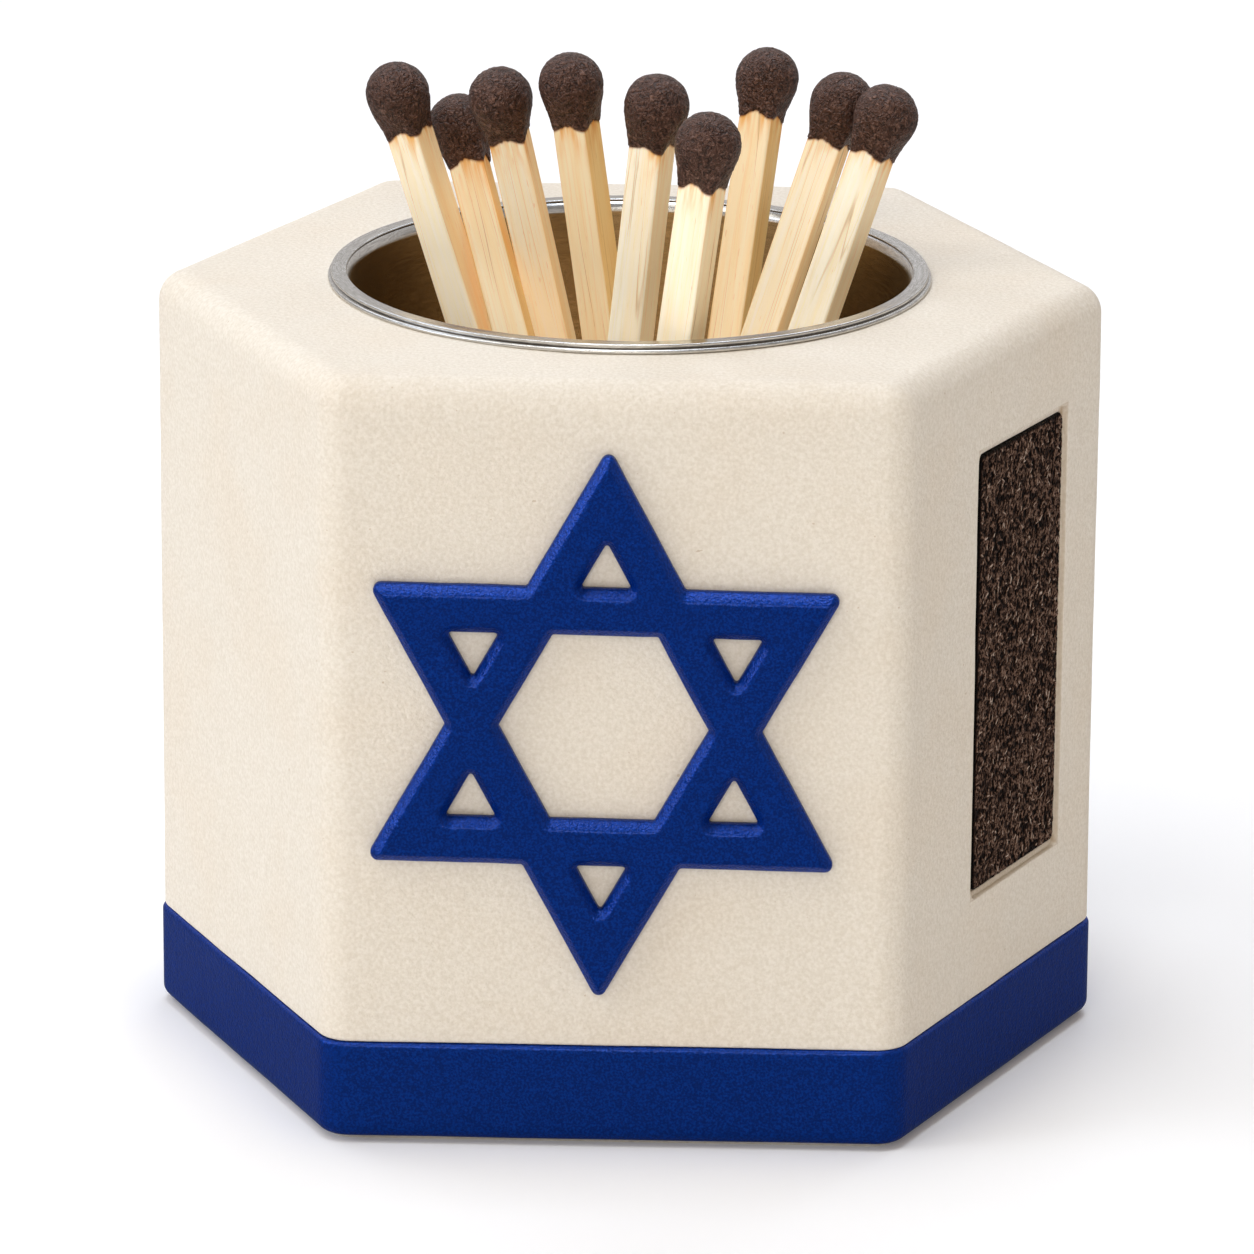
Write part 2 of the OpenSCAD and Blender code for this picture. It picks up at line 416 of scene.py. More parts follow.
def graded(start, end, marks, unit=1.0):
    """Places from start to end, a coarse step apart, and a fine step apart within reach of a mark.
    unit is the length that counts as 1."""
    coarse, fine, reach = COARSE / unit, FINE / unit, FINE_REACH / unit
    dense = np.linspace(start, end, DENSE + 1)
    near = np.abs(dense[:, None] - np.array(marks)).min(1)
    step = fine + (coarse - fine) * np.clip(near / reach - 1, 0, 1)
    steps_so_far = np.concatenate([[0], np.cumsum((end - start) / DENSE / step[1:])])
    count = round(steps_so_far[-1])
    return np.interp(np.linspace(0, steps_so_far[-1], count + 1), steps_so_far, dense)


print("steps over 10 mm with a mark in the middle:", len(graded(0, 10 * MM, [5 * MM])) - 1)


# %% Gentle unevenness
LATTICE = 48


def soft_noise(points, cell, seed):
    """Smooth noise from -1 to 1. Random numbers sit on the corners of a lattice with that cell,
    and the weight 3t^2 - 2t^3 blends them along each axis. cell is one size, or one for each axis."""
    lattice = np.random.default_rng(seed).uniform(-1, 1, (LATTICE,) * 3)
    place = points / np.asarray(cell)
    low = np.floor(place).astype(int)
    share = eased(place - low)
    total = np.zeros(points.shape[:-1])
    for corner in product((0, 1), repeat=3):
        weight = np.where(corner, share, 1 - share).prod(-1)
        i, j, k = np.moveaxis((low + corner) % LATTICE, -1, 0)
        total += weight * lattice[i, j, k]
    return total


def uneven(points, cell, amount, seed):
    """Shifts every point a little, by its own noise along each axis."""
    return points + amount * np.stack([soft_noise(points, cell, seed + axis) for axis in range(3)], -1)


three_places = np.array([[0, 0, 0], [1, 2, 3], [0.5, 0.5, 0.5]])
print("noise at three places:", soft_noise(three_places, 1.0, 1).round(2))

# %% [markdown]
# ## The cast body
#
# The real block is cast in a mould: matt, cream, with a sandy grain, soft edges and faces that are
# never quite flat. A bevelled cube would do from far away. Here the whole skin is one grid instead,
# so the upright corners, the top edge, the bore and the recess for the striking pad flow into each
# other. Columns follow the six-sided outline, and each row has four numbers: how far it is drawn in
# from the faces, how far it has blended towards a circle, that circle's radius, and its height.

# %% Sizes of the body
CORNER_X = 32 * MM
FRONT_W = 37.4 * MM
CORNER_R = 2.4 * MM
TOP_EDGE_R = 2.0 * MM
SEAM_EDGE_R = 0.25 * MM
BORE_EDGE_R = 0.3 * MM

body_low, body_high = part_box("body")
HALF_DEPTH = body_high.y
BORE_R = np.hypot(*cad_points("body")[:, :2].T).min()
side_run = CORNER_X - FRONT_W / 2
side_length = np.hypot(side_run, HALF_DEPTH)
side_normal = np.array([HALF_DEPTH, -side_run, 0]) / side_length
side_along = np.array([side_run, HALF_DEPTH, 0]) / side_length
front_corner = np.array([FRONT_W / 2, -HALF_DEPTH, 0])
print("side faces in mm:", round(side_length / MM, 2), "bore radius:", round(BORE_R / MM, 2))


# %% The six-sided outline
def hexagon(proud):
    """Corners of the outline, anticlockwise from the front right one, with each face moved out."""
    nx, ny = side_normal[0], -side_normal[1]
    x_side = CORNER_X + proud / nx
    x_front = FRONT_W / 2 + proud * (1 - ny) / nx
    y_front = HALF_DEPTH + proud
    return [
        (x_front, -y_front), (x_side, 0), (x_front, y_front),
        (-x_front, y_front), (-x_side, 0), (-x_front, -y_front),
    ]


def ring_rows(outline, normals, rows):
    """Grid of rows round the outline. A row is (inset, share, radius, height): the outline drawn in by
    inset, blended by share towards a circle of that radius, at that height."""
    inset, share, radius, height = (np.array(column)[:, None, None] for column in zip(*rows))
    angle = np.arctan2(outline[:, 1], outline[:, 0])
    circle = np.stack([np.cos(angle), np.sin(angle)], -1)
    return with_height((outline - inset * normals) * (1 - share) + radius * circle * share, height)


def quarter(steps):
    """Angles from 0 to a quarter turn."""
    return np.linspace(0, np.pi / 2, steps + 1)


def lower_edge(radius, wall_start, angles):
    """Rows of a rounded lower edge, up to the height where the upright wall starts."""
    return [(radius * (1 - np.sin(a)), 0, 0, wall_start - radius * np.cos(a)) for a in angles]


def upper_edge(radius, wall_end, angles):
    """Rows of a rounded upper edge, from the height where the upright wall ends."""
    return [(radius * (1 - np.cos(a)), 0, 0, wall_end + radius * np.sin(a)) for a in angles]


print("corners of the body in mm:", *((round(x / MM, 1), round(y / MM, 1)) for x, y in hexagon(0)))

# %% [markdown]
# The recess has two steps. A shallow frame round the pad shows as a pale border, and the pad itself
# sits in a deeper pocket. Each step is a smooth fall over a narrow lip, on either side of the outline
# of a rounded rectangle.

# %% The recess for the striking pad
pad_points = cad_points("striker_coat") - front_corner
pad_along = pad_points @ side_along
PAD_HALF = np.array([np.ptp(pad_along), np.ptp(pad_points[:, 2])]) / 2
PAD_MIDDLE = np.array([pad_along.min(), pad_points[:, 2].min()]) + PAD_HALF
POCKET_GAP, POCKET_DEPTH, POCKET_LIP = 0.1 * MM, 0.6 * MM, 0.04 * MM
BORDER_W, BORDER_DEPTH, BORDER_LIP = 0.48 * MM, 0.3 * MM, 0.05 * MM
BORDER_CORNER_R = 0.8 * MM


def step_down(along, height, beyond, lip):
    """From 0 outside to 1 inside a rounded rectangle that stands beyond the pad's outline by a distance.
    The signed distance to the rectangle is positive outside, and the step is smooth over the lip."""
    corner = BORDER_CORNER_R - BORDER_W + beyond
    out = np.abs(np.stack([along, height], -1) - PAD_MIDDLE) - PAD_HALF - beyond + corner
    distance = np.hypot(*np.moveaxis(np.maximum(out, 0), -1, 0)) + np.minimum(out.max(-1), 0) - corner
    return 1 - eased(np.clip((distance + lip) / (2 * lip), 0, 1))


def recess_depth(along, height):
    """Depth below the side face: the shallow border, and the rest of the way down in the pocket."""
    border = BORDER_DEPTH * step_down(along, height, POCKET_GAP + BORDER_W, BORDER_LIP)
    return border + (POCKET_DEPTH - BORDER_DEPTH) * step_down(along, height, POCKET_GAP, POCKET_LIP)


print("striking pad in mm:", *(2 * PAD_HALF / MM).round(2), "centred at", *(PAD_MIDDLE / MM).round(2))

# %% Shape of the body
PLAIN_SIDE = 40
ON_FACE = 0.01 * MM
BORE_MARGIN = 2 * MM
TOP_SHARES = (0.03, 0.1, 0.2, 0.32, 0.46, 0.6, 0.74, 0.87, 0.96, 1)
SWELL_CELL, SWELL = 9 * MM, 0.035 * MM
RIPPLE_CELL, RIPPLE = 2.5 * MM, 0.012 * MM

steps_out = np.array([POCKET_GAP, POCKET_GAP + BORDER_W])
steps_out = np.concatenate([-PAD_HALF[:, None] - steps_out, PAD_HALF[:, None] + steps_out], 1)
marks_along, marks_up = PAD_MIDDLE[:, None] + steps_out
cut_front = CORNER_R * np.tan(np.arctan2(HALF_DEPTH, side_run) / 2)
cut_side = CORNER_R * np.tan(np.pi / 2 - np.arctan2(HALF_DEPTH, side_run))
straight = side_length - cut_front - cut_side
striker_shares = graded(0, 1, (marks_along - cut_front) / straight, straight)[1:-1]
body_outline = rounded_outline(hexagon(0), CORNER_R, [striker_shares] + [PLAIN_SIDE] * 5)

wall_low, wall_high = body_low.z + SEAM_EDGE_R, body_high.z - TOP_EDGE_R
body_rows = [(SEAM_EDGE_R, 1, BORE_R, body_low.z), (SEAM_EDGE_R, 0.4, BORE_R, body_low.z)]
body_rows += lower_edge(SEAM_EDGE_R, wall_low, quarter(4)[:-1])
body_rows += [(0, 0, 0, z) for z in graded(wall_low, wall_high, marks_up)]
body_rows += upper_edge(TOP_EDGE_R, wall_high, quarter(10)[1:])
body_rows += [(TOP_EDGE_R, share, BORE_R + BORE_EDGE_R, body_high.z) for share in TOP_SHARES]
for a in quarter(4)[1:]:
    edge_r = BORE_R + BORE_EDGE_R * (1 - np.sin(a))
    body_rows.append((0, 1, edge_r, body_high.z - BORE_EDGE_R * (1 - np.cos(a))))
bore_heights = np.linspace(body_high.z - BORE_MARGIN, body_low.z + BORE_MARGIN, 8)
body_rows += [(0, 1, BORE_R, z) for z in bore_heights]

body_grid = ring_rows(*body_outline, body_rows)
from_corner = body_grid - front_corner
on_side = np.abs(from_corner @ side_normal) < ON_FACE
sunk = np.where(on_side, recess_depth(from_corner @ side_along, body_grid[..., 2]), 0)
body_grid = uneven(body_grid, SWELL_CELL, SWELL, seed=11)
body_grid = uneven(body_grid, RIPPLE_CELL, RIPPLE, seed=21)
body_grid = body_grid - sunk[..., None] * side_normal
print("body grid:", body_grid.shape[:2], "deepest recess in mm:", round(sunk.max() / MM, 2))


# %% [markdown]
# ### Cream casting finish
#
# Close up the cast shows three things: a fine sandy grain that mostly catches the light, slow warm
# clouds of colour, and a few darker specks no bigger than a grain of sand. The grain goes into the
# relief and faintly into the colour, the clouds into the colour alone, and the specks are the peaks of
# a fine noise, kept where they pass a high threshold. Round the striking pad the colour has painted
# shade: a tan that stands in for the shaded walls of its recess, most at the far end and below, and a
# thin tan line along the outer edge of the border, for the shadow under that edge. Each point of the
# skin carries how much of this painted shade it has as an attribute.

# %% Cream finish
CREAM = shade(245, 237, 224)
CREAM_WARM = shade(244, 234, 219)
CREAM_SPECK = shade(208, 188, 162)
# painted shade: the tan that stands in for the shaded walls of the striking pad's recess
RECESS_SHADE = shade(168, 134, 88)
SAND_DARK, SAND_PALE = shade(242, 240, 236), shade(255, 255, 255)
SPECK_SHARE = 0.7


def cream_tone(finish):
    place = object_place(finish)
    clouds = between(finish, noise(finish, place, 9 * MM, 3), 0.38, 0.72)
    ground = blend(finish, clouds, CREAM, CREAM_WARM)
    sand = noise(finish, place, 0.25 * MM, 3, 0.6)
    sand = ramp(finish, sand, (0.35, SAND_DARK), (0.65, SAND_PALE))
    ground = blend(finish, 1.0, ground, sand, "MULTIPLY")
    specks = between(finish, noise(finish, place, 0.4 * MM, 1), 0.78, 0.83)
    ground = blend(finish, sums(finish, "MULTIPLY", specks, SPECK_SHARE), ground, CREAM_SPECK)
    # painted shade round the striking pad's recess, blended in where the attribute says
    recess_shade = add_node(finish, "Attribute", {}, attribute_name="recess_shade").outputs["Fac"]
    return blend(finish, recess_shade, ground, RECESS_SHADE)


def cream_grain(finish):
    place = object_place(finish)
    coarse = relief(finish, noise(finish, place, 1.3 * MM, 2), 0.05 * MM)
    return relief(finish, noise(finish, place, 0.3 * MM, 3, 0.65), 0.09 * MM, coarse)


def carry(piece, name, kind, field, values):
    """Gives every point of a piece a value of its own."""
    attribute = piece.data.attributes.new(name, kind, "POINT")
    attribute.data.foreach_set(field, np.ascontiguousarray(values, np.float32).ravel())


# Painted shade round the recess: tan near the pad towards its far end and below it, and a thin line along
# the border's outer edge for the shadow under it.
SHADE_REACH = 0.6 * MM
LINE_W, EDGE_SHADOW = 0.05 * MM, 0.4
LOW_SHADE = 0.6
from_pad = np.stack([from_corner @ side_along, body_grid[..., 2]], -1) - PAD_MIDDLE
beyond_far, beyond_low = from_pad[..., 0] - PAD_HALF[0], -from_pad[..., 1] - PAD_HALF[1]
beyond_any = (np.abs(from_pad) - PAD_HALF).max(-1) - POCKET_GAP
near_pad = 1 - np.clip(beyond_any / SHADE_REACH, 0, 1)
share_far = np.clip(beyond_far / MM + 0.6, 0, 1)
share_low = LOW_SHADE * np.clip(beyond_low / MM + 0.6, 0, 1)
line = EDGE_SHADOW * np.exp(-(((beyond_any - BORDER_W) / LINE_W) ** 2))
recess_shade = np.where(on_side, np.maximum(near_pad ** 1.2 * np.maximum(share_far, share_low), line), 0)

cream = new_finish("cream_casting", cream_tone, cream_grain, Roughness=0.82, Specular_IOR_Level=0.25)
cast_body = add_piece("cast_body", *skin(body_grid), cream, "holder", "cast_body", "body")
carry(cast_body, "recess_shade", "FLOAT", "value", recess_shade)
print("most dust:", round(float(recess_shade.max()), 2))

# %% [markdown]
# ## The blue base
#
# The base is a shallow tray of the same outline, a hair proud of the block, with a soft lower edge.
# It has the same kind of skin as the body, with a pole at the top and bottom. Under the block it
# carries the groove for the adhesive and a low spigot that centres the bore.

# %% Shape of the base
base_low, base_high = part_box("base_plinth")
groove_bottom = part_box("base_adhesive")[0].z
glue_radii = np.hypot(*cad_points("base_adhesive")[:, :2].T)
GROOVE_IN, GROOVE_OUT = glue_radii.min(), glue_radii.max()
SPIGOT_GAP = 0.2 * MM
SPIGOT_R = BORE_R - SPIGOT_GAP
BASE_PROUD = base_high.y - body_high.y
BASE_EDGE_R = 0.9 * MM
BASE_TOP_R = 0.32 * MM
UNDER_R, MIDDLE_R = 16 * MM, 8 * MM
BASE_CELL, BASE_WAVE = 6 * MM, 0.02 * MM
seam = body_low.z

base_outline = rounded_outline(hexagon(BASE_PROUD), CORNER_R, PLAIN_SIDE)
lower, upper = base_low.z + BASE_EDGE_R, seam - BASE_TOP_R
base_rows = [(0, 1, r, base_low.z) for r in (2 * MM, MIDDLE_R, UNDER_R)]
base_rows += [(BASE_EDGE_R, share, UNDER_R, base_low.z) for share in (0.5, 0.1)]
base_rows += lower_edge(BASE_EDGE_R, lower, quarter(8))
base_rows += [(0, 0, 0, z) for z in np.linspace(lower, upper, 12)[1:-1]]
base_rows += upper_edge(BASE_TOP_R, upper, quarter(5))
base_rows += [(BASE_TOP_R, share, GROOVE_OUT, seam) for share in (0.5, 1)]
groove = [(GROOVE_OUT, groove_bottom), (GROOVE_IN, groove_bottom), (GROOVE_IN, seam)]
spigot = [(SPIGOT_R, seam), (SPIGOT_R, base_high.z), (MIDDLE_R, base_high.z)]
base_rows += [(0, 1, r, z) for r, z in groove + spigot]
base_grid = uneven(ring_rows(*base_outline, base_rows), BASE_CELL, BASE_WAVE, seed=31)
base_poles = [(0, 0, base_low.z), (0, 0, base_high.z)]
print("the base stands proud by", round(BASE_PROUD / MM, 2), "mm")

# %% [markdown]
# ### Blue paint
#
# The blue is a satin enamel over a fine pebbled ground. There is a little metal in it, so what it
# mirrors is blue too: the bevels that face the light turn a brighter blue, and no grey film lies
# over the faces that are seen aslant. A thin clear coat adds white glints on ridges and pebbles.

# %% Blue finish
BLUE_DEEP = shade(0, 42, 122)
BLUE_LIGHT = shade(2, 60, 160)


def blue_tone(finish):
    place = object_place(finish)
    pebbles = between(finish, noise(finish, place, 0.15 * MM, 2), 0.36, 0.72)
    return blend(finish, pebbles, BLUE_DEEP, BLUE_LIGHT)


def blue_grain(finish):
    place = object_place(finish)
    coarse = relief(finish, noise(finish, place, 0.6 * MM, 1), 0.03 * MM)
    return relief(finish, noise(finish, place, 0.17 * MM, 2, 0.5), 0.05 * MM, coarse)


blue = new_finish("blue_enamel", blue_tone, blue_grain, Roughness=0.34, Metallic=0.55,
                  Specular_IOR_Level=0.04, Specular_Tint=shade(70, 180, 225), Coat_Weight=0.3,
                  Coat_Roughness=0.18)
follow(blue, "Coat Normal", "Normal")
add_piece("blue_base", *skin(base_grid, base_poles), blue, "holder", "blue_paint", "base_plinth")

# %% [markdown]
# ## The raised star
#
# The star is two triangles of flat band, joined in one plate, with bevelled edges. Its outline is
# exact geometry: twelve corners outside, six small triangles and a hexagon inside. The real star is
# a little taller than wide and leans by less than a degree, so the flat figure is stretched and
# turned before it is stood up. The bevel is a profile carried along each of these eight loops,
# towards the band's middle. What is left of the face and the back is filled with triangles between
# the loops. Spare points inside the face let it wave a little, as the real casting does.

# %% Loops of the star
star_low, star_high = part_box("star")
STAR_R = 17.8 * MM
STAR_BAND = 3 * MM
STAR_STRETCH = 1.06
STAR_TURN = np.radians(-0.7)
TIP_R = 0.5 * MM
NOTCH_R = 0.25 * MM
HOLE_R = 0.16 * MM
star_x, _, star_z = (star_low + star_high) / 2
outer_line = STAR_R / 2
inner_line = outer_line - STAR_BAND
inner_tip = STAR_R - 2 * STAR_BAND


def polar(radius, degrees):
    """Point at a distance and an angle from the star's middle."""
    angle = np.radians(degrees)
    return np.array([radius * np.cos(angle), radius * np.sin(angle)])


def small_triangle(degrees):
    """Corners of the opening behind one point of the star: its apex, and its base on the other triangle."""
    outward, sideways = polar(1, degrees), polar(1, degrees + 90)
    half_base = (inner_tip - outer_line) * np.tan(np.radians(30))
    base = outward * outer_line
    return [outward * inner_tip, base + sideways * half_base, base - sideways * half_base]


tips = [30 + 60 * k for k in range(6)]
outside = [polar(r, a) for tip in tips for r, a in ((STAR_R, tip), (STAR_R / np.sqrt(3), tip + 30))]
hexagon_hole = [polar(inner_line / np.cos(np.radians(30)), tip + 30) for tip in tips]
star_loops = [(outside, [TIP_R, NOTCH_R] * 6, 24, 6), (hexagon_hole, HOLE_R, 18, 3)]
star_loops += [(small_triangle(tip), HOLE_R, 8, 3) for tip in tips]
print("loops of the star:", len(star_loops))

# %% Shape of the star
STAR_HEIGHT = star_high.y - star_low.y
BEVEL_W = 0.62 * MM
SMALLEST_R = 0.04 * MM
SPARE_STEP = 0.42 * MM
SPARE_MARGIN = 0.15 * MM
STAR_CELL, STAR_WAVE = 1.6 * MM, 0.02 * MM
star_back = star_high.y

bevel = [(0.0, 0.0), (0.0, 0.26), (0.012, 0.36), (0.06, 0.44), (0.16, 0.52), (0.5, 0.735)]
bevel += [(0.76, 0.895), (0.88, 0.955), (0.98, 0.985), (1.1, 0.998), (1.25, 1.0)]
profile_in, profile_up = np.array(bevel).T * np.array([[BEVEL_W], [STAR_HEIGHT]])


def drawn_in(corners, radius, sides, arc_steps, inset):
    """Rounded outline with every side moved in by inset. A corner with side normals m and n moves by
    (m + n) / (1 + m.n). The radius of an outward corner shrinks by the inset, and of a notch it grows."""
    corners = np.array(corners)
    ahead = np.roll(corners, -1, axis=0) - corners
    ahead /= np.linalg.norm(ahead, axis=1, keepdims=True)
    behind = np.roll(ahead, 1, axis=0)
    normals, before = (np.stack([way[:, 1], -way[:, 0]], -1) for way in (ahead, behind))
    mitre = (normals + before) / (1 + (normals * before).sum(1, keepdims=True))
    outward = np.sign(behind[:, 0] * ahead[:, 1] - behind[:, 1] * ahead[:, 0])
    radii = np.maximum(radius - inset * outward, SMALLEST_R)
    return rounded_outline(corners - inset * mitre, radii, sides, arc_steps)[0]


def star_rows(loop, solid_inside):
    """Carries the bevel along a loop: drawn in by profile_in, standing out by profile_up. Round a
    hole the bevel goes the other way, and so does the loop."""
    way = 1 if solid_inside else -1
    flat = np.stack([drawn_in(*loop, way * inset) for inset in profile_in])[:, ::way]
    return with_height(flat, profile_up[:, None, None])


def inside_loops(places, loops):
    """Whether each place is in the plate: a line from it to the right crosses the loops an odd number
    of times."""
    odd = np.zeros(len(places), bool)
    for loop in loops:
        a, b = loop, np.roll(loop, -1, axis=0)
        x, y = places[:, 0, None], places[:, 1, None]
        spans = (a[:, 1] > y) != (b[:, 1] > y)
        rise = np.where(b[:, 1] == a[:, 1], 1, b[:, 1] - a[:, 1])
        crossing = a[:, 0] + (y - a[:, 1]) * (b[:, 0] - a[:, 0]) / rise
        odd ^= (spans & (x < crossing)).sum(1) % 2 == 1
    return odd


def fill(loops, extra):
    """Triangles between loops, with extra points inside. Indices run through the loops, then extra."""
    starts = np.cumsum([0] + [len(loop) for loop in loops])
    edges = [(s + i, s + (i + 1) % len(loop)) for s, loop in zip(starts, loops) for i in range(len(loop))]
    places = np.vstack([*loops, extra])
    _, _, faces, origins, _, _ = delaunay_2d_cdt([Vector(p) for p in places / MM], edges, [], 0, 1e-6)
    triangles = np.array([[origins[i][0] for i in face] for face in faces])
    return triangles[inside_loops(places[triangles].mean(1), loops)]


star_points, star_faces, face_rings, back_rings = [], [], [], []
total = 0
for loop in star_loops:
    rows = star_rows(loop, loop is star_loops[0])
    count = rows.shape[1]
    back_rings.append(total + np.arange(count))
    face_rings.append(total + (len(rows) - 1) * count + np.arange(count))
    _, quads = skin(rows, np.zeros((2, 3)))
    star_faces += [[total + i for i in quad] for quad in quads if len(quad) == 4]
    star_points.append(rows.reshape(-1, 3))
    total += rows[..., 0].size

spare_line = np.arange(-STAR_R, STAR_R, SPARE_STEP)
across, upright = np.meshgrid(spare_line, spare_line)
across[1::2] += SPARE_STEP / 2
spare = np.stack([across.ravel(), upright.ravel()], -1)
clear = profile_in[-1] + SPARE_MARGIN
spare_loops = [drawn_in(*loop, clear if loop is star_loops[0] else -clear) for loop in star_loops]
spare = spare[inside_loops(spare, spare_loops)]
star_points.append(np.column_stack([spare, np.full(len(spare), STAR_HEIGHT)]))

star_points = np.vstack(star_points)
face_index = np.concatenate([*face_rings, total + np.arange(len(spare))])
back_index = np.concatenate(back_rings)
face_loops, back_loops = ([star_points[r, :2] for r in rings] for rings in (face_rings, back_rings))
star_faces += face_index[fill(face_loops, spare)].tolist()
star_faces += back_index[fill(back_loops, np.zeros((0, 2)))][:, ::-1].tolist()

turn_x, turn_y = np.cos(STAR_TURN), np.sin(STAR_TURN)
leaning = star_points[:, :2] * (1, STAR_STRETCH) @ [[turn_x, turn_y], [-turn_y, turn_x]]
standing = np.column_stack([star_x + leaning[:, 0], star_back - star_points[:, 2], star_z + leaning[:, 1]])
standing = uneven(standing, STAR_CELL, STAR_WAVE, seed=41)
add_piece("raised_star", standing, star_faces, blue, "holder", "blue_paint", "star")

# %% [markdown]
# ## The steel cup
#
# The cup is spun from thin sheet, with a folded rim that rests on the block. A spun part is a
# profile turned round an axis, so that is how it is made. The rim is a flat ring on top of a round
# bead, with a groove between them, and inside a narrow bright bevel leads down to the wall. Those
# steps are what the eye reads as steel: each mirrors another height of the room.

# %% Shape of the cup
cup_low, cup_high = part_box("cup")
cup_points = cad_points("cup")
cup_radii = np.hypot(*cup_points[:, :2].T)
RIM_R = cup_radii.max()
CUP_WALL = 0.5 * MM
CUP_OUT = cup_radii[cup_points[:, 2] < body_high.z - 1 * MM].max()
CUP_IN = CUP_OUT - CUP_WALL
CUP_FLOOR = cup_low.z + CUP_WALL
CUP_EDGE_R = 1.5 * MM
BEAD_R = 0.16 * MM
RING_EDGE_R = 0.1 * MM
RING_OUT = RIM_R - 0.2 * MM
RING_IN = CUP_IN + 0.24 * MM
GROOVE_W, GROOVE_DEPTH = 0.07 * MM, 0.12 * MM
BEVEL_DROP = 0.62 * MM
CUP_COLUMNS = 288
FLOOR_RINGS = (6 * MM, 14 * MM)
RING_DIP = 0.012 * MM


def arc(middle, radius, first, last, steps):
    """Points of an arc in the profile, from one angle to another, in degrees."""
    angle = np.radians(np.linspace(first, last, steps + 1))
    return [(middle[0] + radius * np.cos(a), middle[1] + radius * np.sin(a)) for a in angle]


rim_low, rim_top = body_high.z, cup_high.z
inner_edge = CUP_EDGE_R - CUP_WALL
outer_wall = [(r, cup_low.z) for r in FLOOR_RINGS]
outer_wall += arc((CUP_OUT - CUP_EDGE_R, cup_low.z + CUP_EDGE_R), CUP_EDGE_R, -90, 0, 8)
outer_wall += [(CUP_OUT, z) for z in np.linspace(12 * MM, rim_low - 0.3 * MM, 12)]
outer_wall += [(CUP_OUT + 0.02 * MM, rim_low)]
bead = arc((RIM_R - BEAD_R, rim_low + BEAD_R), BEAD_R, -90, 78, 9)
groove_z = rim_low + 2 * BEAD_R
outer_groove = [(RING_OUT - GROOVE_DEPTH, groove_z), (RING_OUT - GROOVE_DEPTH, groove_z + GROOVE_W)]
ring = [(RING_OUT - 0.02 * MM, groove_z + GROOVE_W)]
ring += arc((RING_OUT - RING_EDGE_R, rim_top - RING_EDGE_R), RING_EDGE_R, 0, 90, 6)
for share in np.linspace(0.2, 0.8, 4):
    ring.append((RING_OUT + (RING_IN - RING_OUT) * share, rim_top - RING_DIP * np.sin(np.pi * share)))
ring += arc((RING_IN + RING_EDGE_R, rim_top - RING_EDGE_R), RING_EDGE_R, 90, 180, 6)
groove_r, groove_top = RING_IN + 0.5 * GROOVE_DEPTH, rim_top - RING_EDGE_R - 0.02 * MM
inner_groove = [(groove_r, groove_top), (groove_r, groove_top - GROOVE_W)]
bevel_top = rim_top - RING_EDGE_R - 0.03 * MM - GROOVE_W
inner_bevel = [(RING_IN - 0.02 * MM, bevel_top)]
inner_bevel += [(CUP_IN + 0.05 * MM, bevel_top - 0.8 * BEVEL_DROP)]
inner_bevel += [(CUP_IN + 0.012 * MM, bevel_top - 0.95 * BEVEL_DROP)]
wall_bottom = CUP_FLOOR + inner_edge + 1 * MM
inner_wall = [(CUP_IN, z) for z in np.linspace(bevel_top - 1.1 * BEVEL_DROP, wall_bottom, 24)]
inner_wall += arc((CUP_IN - inner_edge, CUP_FLOOR + inner_edge), inner_edge, 0, -90, 6)
inner_wall += [(r, CUP_FLOOR) for r in FLOOR_RINGS[::-1]]

cup_parts = [outer_wall, bead, outer_groove, ring, inner_groove, inner_bevel, inner_wall]
radius, height = np.vstack(cup_parts).T[:, :, None]
cup_grid = turned(radius, np.linspace(0, 2 * np.pi, CUP_COLUMNS, endpoint=False), height)
print("cup inside radius in mm:", round(CUP_IN / MM, 2), "floor at", round(CUP_FLOOR / MM, 2))

# %% [markdown]
# ### Brushed steel
#
# Spinning leaves fine lines that run round the cup. They are noise in cylindrical places: fine along
# the radius and the height, long round the axis. The angle would jump where it passes half a turn,
# so the lines are read along the radius and the height, with a slow drift from the object's own
# place. Such lines feed the colour and a very shallow relief, and the shader stretches its
# reflections across them. The colour also has painted shade and a painted reflection: the grooves
# are painted dark, for the dark that they mirror, and the wall inside is tinted warm brown, for the
# wooden matches that it mirrors. Each row of the profile carries how much of both it has.

# %% Steel finish
STEEL = shade(218, 216, 213)
STEEL_LINE = shade(192, 189, 185)
# painted shade: the dark colour laid into the rim's grooves
GROOVE_SHADE = shade(104, 96, 88)
# painted reflection: the warm brown of the wooden matches, multiplied into the wall inside
WALL_REFLECTION = shade(228, 208, 176)


def brushed_lines(finish, fineness):
    """Lines round the axis: noise at (radius, drift, height), fine along the first and last."""
    whole = add_node(finish, "TexCoord", {}).outputs["Object"]
    split = add_node(finish, "SeparateXYZ", {0: whole})
    flat = add_node(finish, "CombineXYZ", {0: split.outputs[0], 1: split.outputs[1], 2: 0.0})
    radius = add_node(finish, "VectorMath", {0: flat.outputs[0]}, operation="LENGTH").outputs["Value"]
    drift = sums(finish, "MULTIPLY", noise(finish, whole, 7 * MM, 1), 4 * MM)
    place = add_node(finish, "CombineXYZ", {0: radius, 1: drift, 2: split.outputs[2]}).outputs[0]
    return noise(finish, place, fineness, 2, 0.6)


